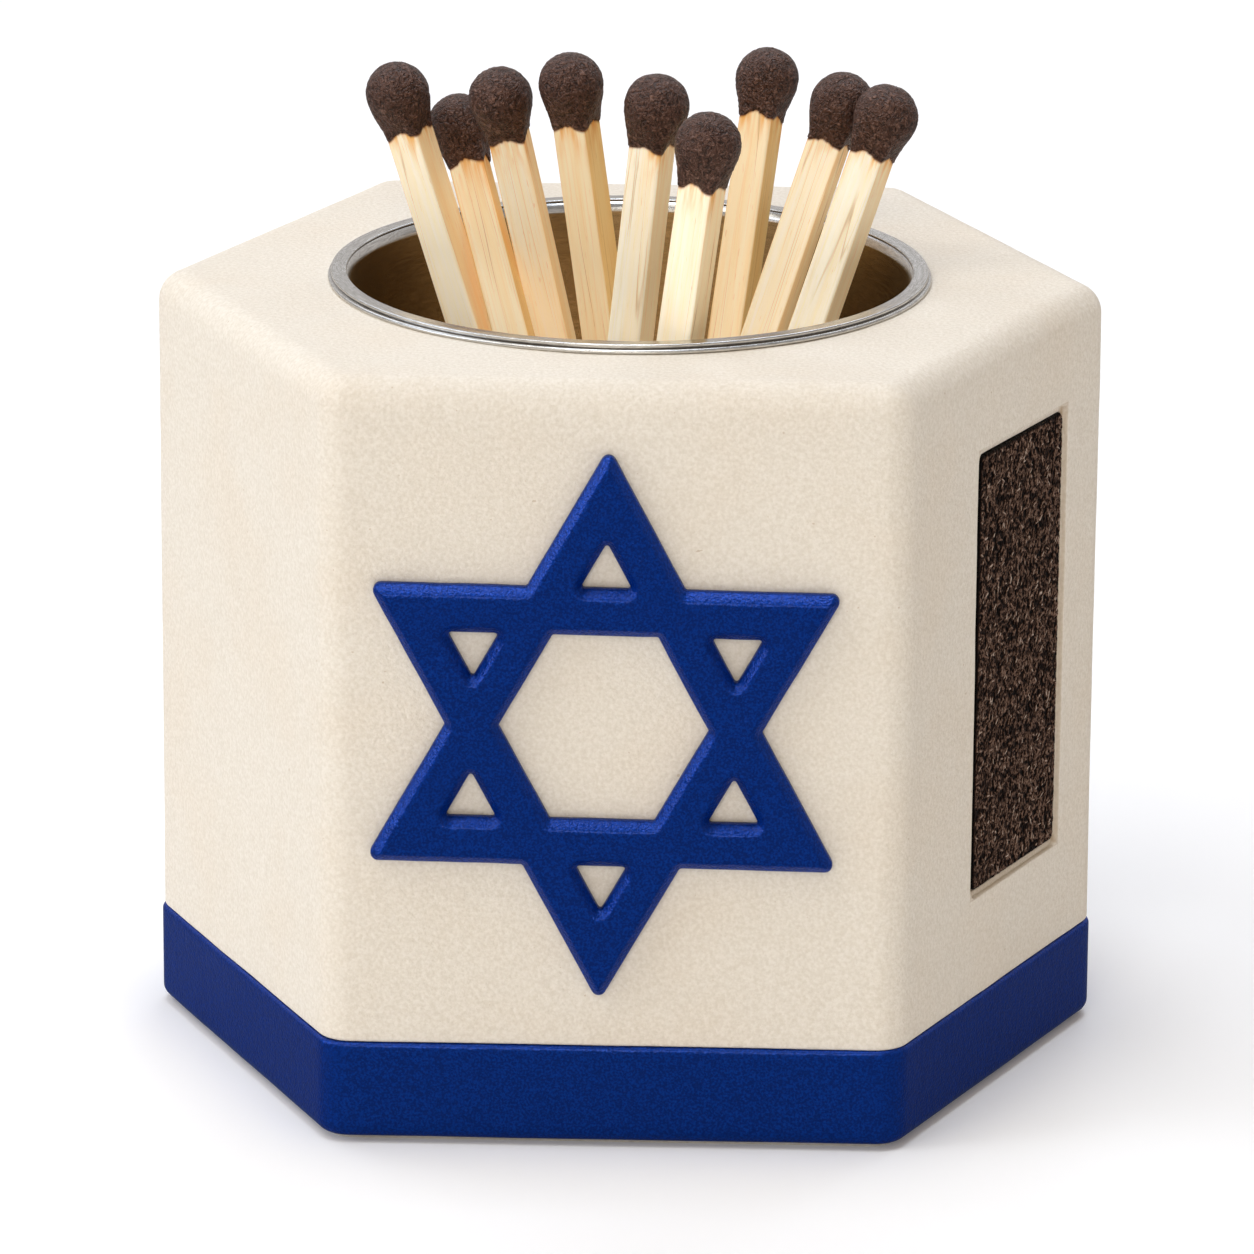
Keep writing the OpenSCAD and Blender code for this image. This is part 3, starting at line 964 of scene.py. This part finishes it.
def steel_tone(finish):
    lines = ramp(finish, brushed_lines(finish, 0.12 * MM), (0.35, STEEL_LINE), (0.65, STEEL))
    # first number: painted shade in the grooves; second: painted reflection on the wall inside
    groove_shade, inside, _ = carried(finish, "shade_and_reflection")
    tinted_wall = blend(finish, 1.0, lines, WALL_REFLECTION, "MULTIPLY")
    ground = blend(finish, inside, lines, tinted_wall)
    return blend(finish, groove_shade, ground, GROOVE_SHADE)


def steel_grain(finish):
    return relief(finish, brushed_lines(finish, 0.14 * MM), 0.004 * MM)


steel = new_finish("brushed_steel", steel_tone, steel_grain, Metallic=1.0, Roughness=0.26, Anisotropic=0.5)
around = add_node(steel, "Tangent", {}, direction_type="RADIAL", axis="Z")
steel.node_tree.links.new(around.outputs[0], steel.node_tree.nodes["Principled BSDF"].inputs["Tangent"])
cup_poles = [(0, 0, cup_low.z), (0, 0, CUP_FLOOR)]
cup = add_piece("steel_cup", *skin(cup_grid, cup_poles), steel, "cup", "steel", "cup")

grooves = (outer_groove, inner_groove)
# rows that get painted shade (the grooves) and painted reflection (the wall inside)
groove_shade = np.concatenate([np.full(len(part), any(part is g for g in grooves)) for part in cup_parts])
inside = np.concatenate([np.full(len(part), part is inner_wall) for part in cup_parts])
shade_and_reflection = np.stack([groove_shade, inside, 0 * groove_shade, 0 * groove_shade + 1], -1)
shade_and_reflection = np.concatenate([np.repeat(shade_and_reflection, CUP_COLUMNS, 0), [(0, 0, 0, 1), (0, 1, 0, 1)]])
carry(cup, "shade_and_reflection", "FLOAT_COLOR", "color", shade_and_reflection)
print("points with dark polish:", int(shade_and_reflection[:, 0].sum()))

# %% [markdown]
# ## The striking surface
#
# The pad is a card coated with dark compound full of grit. Seen close, the grit is a mass of short
# worm-like ridges about half a millimetre long, lying every way. A bump map would look flat against
# the light lip of the recess, so the ridges are real: thousands of small capsules are stamped into
# a height field, each raising the surface where it stands higher than what is there already.

# %% Grit as a height field
GRIT_STEP = 0.066 * MM
GRIT_COUNT = 10500
GRIT_SEED = 5
GRIT_PEAK = 0.045 * MM
GRIT_DEPTH = 0.13 * MM
HALF_LENGTHS, HALF_WIDTHS = (0.06, 0.22), (0.07, 0.11)
PATCH_STEPS = 6

columns = 2 * round(PAD_HALF[0] / GRIT_STEP) + 1
rows = 2 * round(PAD_HALF[1] / GRIT_STEP) + 1
pad_u, pad_v = np.meshgrid(np.linspace(-1, 1, columns) * PAD_HALF[0], np.linspace(-1, 1, rows) * PAD_HALF[1])
dice = np.random.default_rng(GRIT_SEED)
grit = np.zeros_like(pad_u)
# strength of the painted glint at each point: how tall the highest ridge there is
glint_strength = np.zeros_like(pad_u)
for middle_u, middle_v, lean, length, width, tall in zip(
    dice.uniform(-1, 1, GRIT_COUNT) * PAD_HALF[0],
    dice.uniform(-1, 1, GRIT_COUNT) * PAD_HALF[1],
    dice.normal(np.pi / 2, 0.9, GRIT_COUNT),
    dice.uniform(*HALF_LENGTHS, GRIT_COUNT) * MM,
    dice.uniform(*HALF_WIDTHS, GRIT_COUNT) * MM,
    dice.uniform(0.35, 1.0, GRIT_COUNT) ** 1.5,
):
    c = round((middle_u + PAD_HALF[0]) / GRIT_STEP)
    r = round((middle_v + PAD_HALF[1]) / GRIT_STEP)
    patch = tuple(slice(max(at - PATCH_STEPS, 0), at + PATCH_STEPS + 1) for at in (r, c))
    du, dv = pad_u[patch] - middle_u, pad_v[patch] - middle_v
    along = du * np.cos(lean) + dv * np.sin(lean)
    aside = dv * np.cos(lean) - du * np.sin(lean)
    away = np.hypot(np.maximum(np.abs(along) - length, 0), aside) / width
    ridge = tall * np.sqrt(np.clip(1 - away ** 2, 0, 1))
    glint_strength[patch] = np.where(ridge > grit[patch], tall, glint_strength[patch])
    grit[patch] = np.maximum(grit[patch], ridge)
print("grit covers", round((grit > 0).mean() * 100), "% of the pad")

# %% [markdown]
# The coating is worked down over the sides of the card, so that only dark compound shows. The border
# of the height field is carried on by two more rings of points, a hair outside the card, down to
# where the side meets the bottom of the recess.

# %% Shape of the striking surface
PAD_CORNER_R = 0.5 * MM
SIDE_OUT = 0.05 * MM
SIDE_LOW = 0.57 * MM
RAGGED, RAGGED_CELL, RAGGED_REACH = 0.03 * MM, 0.22 * MM, 0.3 * MM
FLAT_U, FLAT_V = 0.09 * MM, 0.06 * MM

pad_places = np.stack([pad_u, pad_v], -1)
corner_u, corner_v = np.moveaxis(
    np.clip((np.abs(pad_places) - PAD_HALF + PAD_CORNER_R) / PAD_CORNER_R, 0, 1), -1, 0)
round_u = np.sign(pad_u) * corner_u * PAD_CORNER_R * (np.sqrt(1 - corner_v ** 2 / 2) - 1)
round_v = np.sign(pad_v) * corner_v * PAD_CORNER_R * (np.sqrt(1 - corner_u ** 2 / 2) - 1)
flat_places = with_height(pad_places, 0.0)
from_edge = np.moveaxis(PAD_HALF - np.abs(pad_places), -1, 0)
ragged_u, ragged_v = (
    RAGGED * soft_noise(flat_places, RAGGED_CELL, seed) * (inwards < RAGGED_REACH)
    for seed, inwards in zip((51, 52), from_edge))
rim_share = np.maximum(*(
    np.clip(1.6 - inwards / flat, 0, 1) for inwards, flat in zip(from_edge, (FLAT_U, FLAT_V))))
top_out = -GRIT_PEAK - GRIT_DEPTH * (1 - grit * (1 - 0.6 * rim_share))


def on_side_face(along, up, out):
    """Places on the side face: along it from the middle of the pad, up, and outwards."""
    base = front_corner + side_along * PAD_MIDDLE[0]
    flat = base + along[..., None] * side_along + out[..., None] * side_normal
    return flat + (PAD_MIDDLE[1] + up)[..., None] * np.array([0, 0, 1])


coat_u, coat_v = pad_u + round_u + ragged_u, pad_v + round_v + ragged_v
coat_points = on_side_face(coat_u, coat_v, top_out).reshape(-1, 3)
r, c = np.meshgrid(np.arange(rows - 1), np.arange(columns - 1), indexing="ij")
first = r * columns + c
coat_faces = np.stack([first, first + 1, first + columns + 1, first + columns], -1).reshape(-1, 4).tolist()
border = np.concatenate([
    np.arange(columns), columns * np.arange(1, rows) + columns - 1,
    (rows - 1) * columns + np.arange(columns - 2, -1, -1), columns * np.arange(rows - 2, 0, -1),
])
edge_u, edge_v = coat_u.ravel()[border], coat_v.ravel()[border]
away_u = SIDE_OUT * np.sign(edge_u) * (np.abs(edge_u) > PAD_HALF[0] - PAD_CORNER_R)
away_v = SIDE_OUT * np.sign(edge_v) * (np.abs(edge_v) > PAD_HALF[1] - PAD_CORNER_R)
side_rings = [border]
for depth in (GRIT_PEAK + 1.5 * GRIT_DEPTH, SIDE_LOW):
    side_rings.append(len(coat_points) + np.arange(len(border)))
    ring_points = on_side_face(edge_u + away_u, edge_v + away_v, np.full(len(border), -depth))
    coat_points = np.vstack([coat_points, ring_points])
for upper_ring, lower_ring in zip(side_rings, side_rings[1:]):
    quads = [upper_ring, lower_ring, np.roll(lower_ring, -1), np.roll(upper_ring, -1)]
    coat_faces += np.stack(quads, -1).tolist()
coat_faces.append(side_rings[-1][::-1].tolist())
print("grit grid:", pad_u.shape)


# %% [markdown]
# ### Grit finish
#
# The compound is a very dark brown with a dull shine. Its colour follows the height: painted shade
# makes it nearly black between the ridges, a painted highlight makes the ridge tops brown-grey, and the
# brightest ridges get a painted glint. The height of each point and the brightness of its ridge
# travel with the mesh as an attribute, so this painted light follows the real relief.

# %% Grit colours
# painted shade between the ridges
GRIT_HOLLOW_SHADE = shade(10, 4, 2)
GRIT_MID = shade(52, 34, 25)
# painted highlight on the ridge tops
GRIT_TOP_HIGHLIGHT = shade(150, 119, 101)
# painted glint on the brightest ridges
GRIT_PAINTED_GLINT = shade(214, 196, 180)
CRUMB = 0.13 * MM
CRUMB_DARK, CRUMB_PALE = shade(112, 104, 98), shade(255, 255, 255)


def grit_tone(finish):
    height, brightness, _ = carried(finish, "grit")
    ground = ramp(finish, height, (0.1, GRIT_HOLLOW_SHADE), (0.45, GRIT_MID), (0.95, GRIT_TOP_HIGHLIGHT))
    crumbs = noise(finish, object_place(finish), CRUMB, 1)
    crumbs = ramp(finish, crumbs, (0.38, CRUMB_DARK), (0.56, CRUMB_PALE))
    ground = blend(finish, 1.0, ground, crumbs, "MULTIPLY")
    return blend(finish, between(finish, brightness, 0.84, 0.96), ground, GRIT_PAINTED_GLINT)


def grit_grain(finish):
    return relief(finish, noise(finish, object_place(finish), CRUMB, 1), 0.05 * MM)


grit_finish = new_finish("striking_grit", grit_tone, grit_grain, Roughness=0.5, Specular_IOR_Level=0.06)
coat_piece = add_piece("striking_surface", coat_points, coat_faces, grit_finish,
                       "holder", "striker_grit", "striker_coat")
# first number: height, painted dark in the hollows and light on the tops; second: strength of the painted
# glint
grit_values = np.zeros((len(coat_points), 4))
grit_values[:grit.size, 0] = (grit * (1 - 0.7 * rim_share)).ravel()
grit_values[:grit.size, 1] = (glint_strength * grit * (1 - rim_share)).ravel()
carry(coat_piece, "grit", "FLOAT_COLOR", "color", grit_values)
print("the grit's attribute has", len(grit_values), "values")

# %% [markdown]
# ## The matches
#
# Nine matches stand in the cup. Each stick is a sawn square with its corners just broken, and each
# head is a drop of compound that hangs down the corners a little further than down the faces. The
# CAD model tells where each match stands: its joint slides along the stick, and the corners of the
# stick's mesh give the foot and the directions of its flat sides. All shapes are made once in the
# match's own frame, with z along the stick, and then set up in place.


# %% Where each match stands
def match_frame(number):
    """Foot, axes and lengths of a match. The joint gives the axis, the largest face of the CAD
    stick gives a flat side, and the extents of the corners along these axes give the rest."""
    joint = next(j for j in frame["joints"] if j["name"] == f"match_{number}_pull")
    lengthwise = np.array(joint["axis"], float)
    lengthwise /= np.linalg.norm(lengthwise)
    faces = frame["nodes"][f"match_{number}_stick"].data.polygons
    sideways = np.array(max(faces, key=lambda face: face.area).normal)
    sideways -= lengthwise * (sideways @ lengthwise)
    sideways /= np.linalg.norm(sideways)
    axes = np.stack([sideways, np.cross(lengthwise, sideways), lengthwise])
    stick, head = (cad_points(f"match_{number}_{part}") @ axes.T for part in ("stick", "head"))
    middle = (stick.min(0) + stick.max(0)) / 2
    foot = np.array([middle[0], middle[1], stick[:, 2].min()])
    return {
        "axes": axes,
        "foot": foot @ axes,
        "width": np.ptp(stick[:, 0]),
        "stick": np.ptp(stick[:, 2]),
        "head_low": head[:, 2].min() - foot[2],
        "head_top": head[:, 2].max() - foot[2],
        "head_r": np.ptp(head[:, 0]) / 2,
    }


def set_up(points, match):
    """Turns points from a match's own frame into the holder's."""
    return points @ match["axes"] + match["foot"]


MATCHES = {number: match_frame(number) for number in range(1, 10)}
first_match = MATCHES[1]
print("match in mm:", {k: round(v / MM, 2) for k, v in first_match.items() if np.isscalar(v)})

# %% The lower edge of a head
HANG = 0.36 * MM
SCALLOP = 0.13 * MM
SCALLOPS_PER_TURN = 14


def head_edge(angle, match, number):
    """Height of the head's lower edge round the stick. It hangs lowest at the stick's corners, and
    between them it rises in small arches: the size of a sine, with uneven spacing and height."""
    dice = np.random.default_rng(700 + number)
    first, second, third = dice.uniform(0, 2 * np.pi, 3)
    warped = angle + 0.1 * np.sin(3 * angle + first) + 0.06 * np.sin(5 * angle + second)
    arches = np.abs(np.sin(SCALLOPS_PER_TURN / 2 * warped + third)) ** 0.8
    uneven_arches = arches * (0.65 + 0.35 * np.sin(4 * angle + first + second))
    corner = np.abs(np.sin(2 * angle)) ** 2.5
    slant = 0.1 * MM * np.cos(angle - second)
    return match["head_low"] + HANG * (1 - corner) + SCALLOP * uneven_arches + slant * (1 - corner)


print("heads hang down by", HANG / MM, "mm at the corners")

# %% Shape of a stick
STICK_SWELL = 0.12 * MM
STICK_CORNER_R = 0.2 * MM
STICK_ROWS = 90
BROKEN_EDGE = 0.06 * MM
END_INSET = 0.6 * MM
GRAIN_HEIGHT, WAVE_HEIGHT = 0.01 * MM, 0.02 * MM


def square(width):
    """Corners of a square about the axis, anticlockwise."""
    half = width / 2
    return [(half, -half), (half, half), (-half, half), (-half, -half)]


def stick_shape(match, number):
    """A rounded square carried along the stick. Long noise raises the grain by a few hundredths of a
    millimetre, and the ends are cut flat by the saw with a slightly broken edge. Rows lie close together
    under the lower edge of the head, to carry the amber and brown that it leaves on the wood."""
    outline, normals = rounded_outline(square(match["width"] + STICK_SWELL), STICK_CORNER_R, 14, 4)
    length = match["stick"]
    stained = np.arange(match["head_low"] - 0.3 * MM, match["head_low"] + 0.75 * MM, 0.05 * MM)
    shaft = np.linspace(BROKEN_EDGE, length - BROKEN_EDGE, STICK_ROWS)
    shaft = np.unique(np.concatenate([shaft, stained]))
    small = 0.25 * BROKEN_EDGE
    heights = np.concatenate([[0, 0, small], shaft, [length - small, length, length]])
    end = [END_INSET, BROKEN_EDGE, small]
    drawn = np.concatenate([end, 0 * shaft, end[::-1]])
    grid = with_height(outline - drawn[:, None, None] * normals, heights[:, None, None])
    seed = 100 * number
    fine = GRAIN_HEIGHT * soft_noise(grid + 9 * MM * number, (0.2 * MM, 0.2 * MM, 7 * MM), seed)
    broad = WAVE_HEIGHT * soft_noise(grid, (0.9 * MM, 0.9 * MM, 12 * MM), seed + 1)
    grid[..., :2] += (fine + broad)[..., None] * normals
    return grid


print("stick grid:", stick_shape(first_match, 1).shape[:2])

# %% [markdown]
# ### Wood
#
# The splints are aspen: nearly white, with long pale-brown streaks. Wood grain is noise stretched
# along the stick. Every point of a stick carries its place in the match's own frame, so the streaks
# follow the stick whichever way it leans. Wax and dye from the head have soaked a little way down,
# which gives an amber tint that fades below the head. A weak glow in the wood's own colour is painted
# light: it brightens every side of the sticks, lit and shaded alike. The two sides of each stick that
# face left and right in the holder are darkened, which is painted shade. Tones also differ from match
# to match, and the darkest go to the matches at the back, which stand in shade: that part is painted
# shade too.

# %% Wood colours
WOOD_PALE = shade(255, 250, 230)
WOOD_MID = shade(255, 240, 208)
WOOD_STREAK = shade(236, 190, 122)
WOOD_LINE = shade(178, 138, 82)
# painted light: the wood glows in its own colour, brightening every side of the sticks
WOOD_GLOW = 0.23
AMBER = shade(236, 176, 88)
EDGE_BROWN = shade(112, 62, 34)
# painted shade: the tint for the sides of each stick that face left and right
SIDE_SHADE_TINT = shade(226, 197, 148)
TINT_REACH = 3.4 * MM
EDGE_REACH = 0.22 * MM
SIDE_SHADE = 0.55
# tones differ from match to match; the darkest, for matches 2, 4 and 7 at the back, are painted shade
STICK_TONES_AND_SHADE = (0.1, 0.45, 0.2, 0.6, 0.05, 0.1, 0.5, 0.15, 0.0)


def fibre_place(finish, across, along):
    """Place in the stick's own frame, divided by the size of the streaks across and along it."""
    own = add_node(finish, "Attribute", {}, attribute_name="fibre").outputs["Vector"]
    scale = (1 / across, 1 / across, 1 / along)
    return add_node(finish, "Mapping", {"Vector": own, "Scale": scale}).outputs[0]


def fibres(finish, across, along, *detail):
    """Noise from 0 to 1 whose patches are long ones, of these sizes across and along the stick."""
    return noise(finish, fibre_place(finish, across, along), 1.0, *detail)


def thin_lines(finish, across, along, width):
    """Lines along the stick, 1 where a long noise passes through a half and 0 elsewhere."""
    off = sums(finish, "SUBTRACT", fibres(finish, across, along, 0), 0.5)
    off = sums(finish, "ABSOLUTE", off, 0.0)
    return sums(finish, "SUBTRACT", 1.0, between(finish, off, 0.0, width))


def wood_tone(finish):
    broad = fibres(finish, 0.6 * MM, 14 * MM, 2)
    ground = ramp(finish, broad, (0.34, WOOD_PALE), (0.66, WOOD_MID))
    fine = between(finish, fibres(finish, 0.12 * MM, 6 * MM, 2, 0.6), 0.5, 0.72)
    ground = blend(finish, sums(finish, "MULTIPLY", fine, 0.26), ground, WOOD_STREAK)
    some = between(finish, fibres(finish, 0.8 * MM, 9 * MM, 1), 0.42, 0.62)
    lines = sums(finish, "MULTIPLY", thin_lines(finish, 0.55 * MM, 24 * MM, 0.03), some)
    ground = blend(finish, sums(finish, "MULTIPLY", lines, 0.5), ground, WOOD_LINE)
    pores = between(finish, fibres(finish, 0.08 * MM, 0.9 * MM, 0), 0.76, 0.84)
    ground = blend(finish, sums(finish, "MULTIPLY", pores, 0.3), ground, WOOD_LINE)
    amber, tone, brown = carried(finish, "stain_and_shade")
    patchy = between(finish, fibres(finish, 0.5 * MM, 3 * MM, 2), 0.35, 0.7)
    ground = blend(finish, sums(finish, "MULTIPLY", amber, patchy), ground, AMBER)
    # painted shade on the sides that face left and right, and on the matches at the back
    darker = blend(finish, 1.0, ground, SIDE_SHADE_TINT, "MULTIPLY")
    ground = blend(finish, tone, ground, darker)
    return blend(finish, brown, ground, EDGE_BROWN)


def wood_grain(finish):
    return relief(finish, fibres(finish, 0.12 * MM, 5 * MM, 3, 0.6), 0.03 * MM)


wood = new_finish("aspen", wood_tone, wood_grain, Roughness=0.62, Specular_IOR_Level=0.3,
                  Emission_Strength=WOOD_GLOW)
follow(wood, "Emission Color", "Base Color")


def add_stick(number):
    match = MATCHES[number]
    grid = stick_shape(match, number)
    points, faces = skin(grid, [(0, 0, 0), (0, 0, match["stick"])])
    piece = add_piece(f"match_{number}_wood", set_up(points, match), faces, wood,
                      f"match_{number}", "match_wood", f"match_{number}_stick")
    carry(piece, "fibre", "FLOAT_VECTOR", "vector", points + number * 17 * MM)
    below = head_edge(np.arctan2(points[:, 1], points[:, 0]), match, number) - points[:, 2]
    amber = np.clip(1 - below / TINT_REACH, 0, 1) ** 2
    # the sides that face left and right in the holder get painted shade
    front = np.abs(match["axes"][:2, 1]).argmax()
    shaded_side = np.abs(points[:, 1 - front]) > np.abs(points[:, front])
    tone = np.clip(STICK_TONES_AND_SHADE[number - 1] + SIDE_SHADE * shaded_side, 0, 1)
    brown = np.clip(1 - below / EDGE_REACH, 0, 1) ** 2
    carry(piece, "stain_and_shade", "FLOAT_COLOR", "color", np.stack([amber, tone, brown, 0 * brown + 1], -1))


for number in MATCHES:
    add_stick(number)

# %% [markdown]
# ### Match heads
#
# A head is a ball on a short skirt that narrows to the square stick. The section changes from a
# circle to the stick's own rounded square, so four soft ridges run down to the corners, and the lower
# edge is scalloped. Real compound dries to a leathery skin, so two sizes of ridged noise wrinkle it.

# %% Shape of a head
HEAD_COLUMNS = 200
HEAD_ROWS = 100
HEAD_SWELL = 0.06 * MM
COAT_T = 0.1 * MM
SKIRT_SHARE = 0.52
NARROWING = 0.21
CORNER_POWER = 8
LUMPS, LUMP_CELL = 0.05 * MM, 1.3 * MM
WRINKLES = ((0.05 * MM, 0.38 * MM, 770), (0.04 * MM, 0.22 * MM, 790))
SUNK = 0.07 * MM
POLE_ABOVE, POLE_BELOW = 0.8 * MM, 0.01 * MM


def square_radius(angle, width):
    """Distance from the axis to a rounded square, as a superellipse of the eighth power."""
    across, upwards = np.abs(np.cos(angle)), np.abs(np.sin(angle))
    return width / 2 / (across ** CORNER_POWER + upwards ** CORNER_POWER) ** (1 / CORNER_POWER)


def ridges(points, cell, seed):
    """Wrinkles from 0 to 1: highest where smooth noise passes through zero."""
    return 1 - np.abs(soft_noise(points, cell, seed))


def head_shape(match, number):
    """Rows run from the lower edge, just outside the wood, up the skirt to the widest ring, and round
    the ball to the top. Going down by a share d of the skirt, the circle narrows by 0.21 d^1.6, and
    the section blends by d^2.2 from a circle to the stick's square."""
    angle = np.linspace(0, 2 * np.pi, HEAD_COLUMNS, endpoint=False)
    top, r = match["head_top"], match["head_r"] + HEAD_SWELL
    edge = head_edge(angle, match, number)
    middle = top - r
    share = np.linspace(0, 1, HEAD_ROWS)[:, None] ** 0.92
    in_skirt = share < SKIRT_SHARE
    skirt = np.clip(share / SKIRT_SHARE, 0, 1)
    arc_angle = np.pi / 2 * np.clip((share - SKIRT_SHARE) / (1 - SKIRT_SHARE), 0, 1)
    height = np.where(in_skirt, edge + (middle - edge) * skirt, middle + r * np.sin(arc_angle))
    wood_side = square_radius(angle, match["width"] + STICK_SWELL)
    coat_side = square_radius(angle, match["width"] + STICK_SWELL + 2 * COAT_T)
    circle = r * (1 - NARROWING * (1 - skirt) ** 1.6)
    squareness = (1 - skirt) ** 2.2
    full_side = circle + (coat_side - circle) * squareness
    lip = np.sqrt(1 - (1 - np.clip(skirt * 20, 0, 1)) ** 2)
    skirt_radius = wood_side + (full_side - wood_side) * lip
    radius = np.where(in_skirt, skirt_radius, r * np.cos(arc_angle))
    grid = turned(radius, angle, height)
    lumps = LUMPS * soft_noise(grid, LUMP_CELL, 750 + number)
    wrinkles = sum(amount * ridges(grid, cell, seed + number) for amount, cell, seed in WRINKLES)
    out = grid - np.array([0, 0, middle])
    out[..., 2] = np.where(in_skirt, 0, out[..., 2])
    out /= np.linalg.norm(out, axis=-1, keepdims=True)
    fade = np.clip(skirt * 8, 0, 1)[..., None]
    grid = grid + out * ((lumps + wrinkles - SUNK)[..., None]) * fade
    under = turned(0.85 * wood_side, angle, edge + 0.05 * MM)
    return np.concatenate([under[None], grid[:-1]])


print("head grid:", head_shape(first_match, 1).shape[:2])

# %% [markdown]
# ### Head compound
#
# Dark brown with a little red in it, like fine leather: matt in the hollows, and slightly waxy, so
# that its wrinkles catch small glints. One creased noise drives both colour and relief: the colour has
# painted shade in the hollows and a painted highlight on the tops.

# %% Head colours
# painted shade for the creases of the wrinkles
HEAD_CREASE_SHADE = shade(38, 21, 16)
HEAD_BROWN = shade(76, 50, 41)
# painted highlight for the tops of the wrinkles
HEAD_RIDGE_HIGHLIGHT = shade(116, 86, 74)


def head_wrinkles(finish):
    """Creased noise, whose swirls come from a distortion of its own place."""
    inputs = {"Vector": object_place(finish), "Scale": 1 / (0.26 * MM), "Detail": 1.5, "Distortion": 1.2}
    return add_node(finish, "TexNoise", inputs).outputs[0]


def head_tone(finish):
    return ramp(finish, head_wrinkles(finish), (0.38, HEAD_CREASE_SHADE), (0.48, HEAD_BROWN), (0.58, HEAD_BROWN),
                (0.66, HEAD_RIDGE_HIGHLIGHT))


def head_grain(finish):
    coarse = relief(finish, head_wrinkles(finish), 0.3 * MM)
    return relief(finish, noise(finish, object_place(finish), 0.1 * MM, 2, 0.6), 0.02 * MM, coarse)


compound = new_finish("head_compound", head_tone, head_grain, Roughness=0.32, Specular_IOR_Level=0.5,
                      Specular_Tint=shade(255, 226, 210))


def add_head(number):
    match = MATCHES[number]
    poles = [(0, 0, match["head_low"] + POLE_ABOVE), (0, 0, match["head_top"] - POLE_BELOW)]
    points, faces = skin(head_shape(match, number), poles)
    add_piece(f"match_{number}_tip", set_up(points, match), faces, compound,
              f"match_{number}", "match_head", f"match_{number}_head")


for number in MATCHES:
    add_head(number)

# %% [markdown]
# ## Pieces that stay as CAD
#
# The base pad, the card, the tape and the two films of adhesive are flat sheets, and the CAD mesh
# already has their shape. They only need a finish.


# %% Plain finishes
def sheet_finish(name, dark, pale, patches, grain, depth, roughness, stretch=(1, 1, 1)):
    """Cloudy patches between two colours, over a fine relief. patches and grain say how the two
    noises look: size, detail and roughness."""
    def tone(finish):
        clouds = noise(finish, object_place(finish, stretch), *patches)
        return ramp(finish, clouds, (0.3, shade(*dark)), (0.7, shade(*pale)))

    def bumps(finish):
        return relief(finish, noise(finish, object_place(finish), *grain), depth)

    return new_finish(name, tone, bumps, Roughness=roughness)


foam = sheet_finish("pad_foam", (214, 208, 198), (232, 227, 218), (0.4 * MM, 3), (0.3 * MM, 3),
                    0.05 * MM, 0.9)
film = sheet_finish("adhesive_film", (206, 203, 194), (222, 219, 210), (1.5 * MM, 2), (0.6 * MM, 2),
                    0.02 * MM, 0.35)
card = sheet_finish("backing_card", (150, 118, 84), (182, 150, 112), (0.5 * MM, 4, 0.6), (0.25 * MM, 3),
                    0.03 * MM, 0.85, (1, 1, 0.35))
sheets = {"base_pad": foam, "striker_card": card}
for name in ("base_adhesive", "star_adhesive", "striker_tape"):
    sheets[name] = film
for name, finish in sheets.items():
    frame["nodes"][name].material_slots[0].material = finish
print("CAD pieces kept:", sorted(sheets))
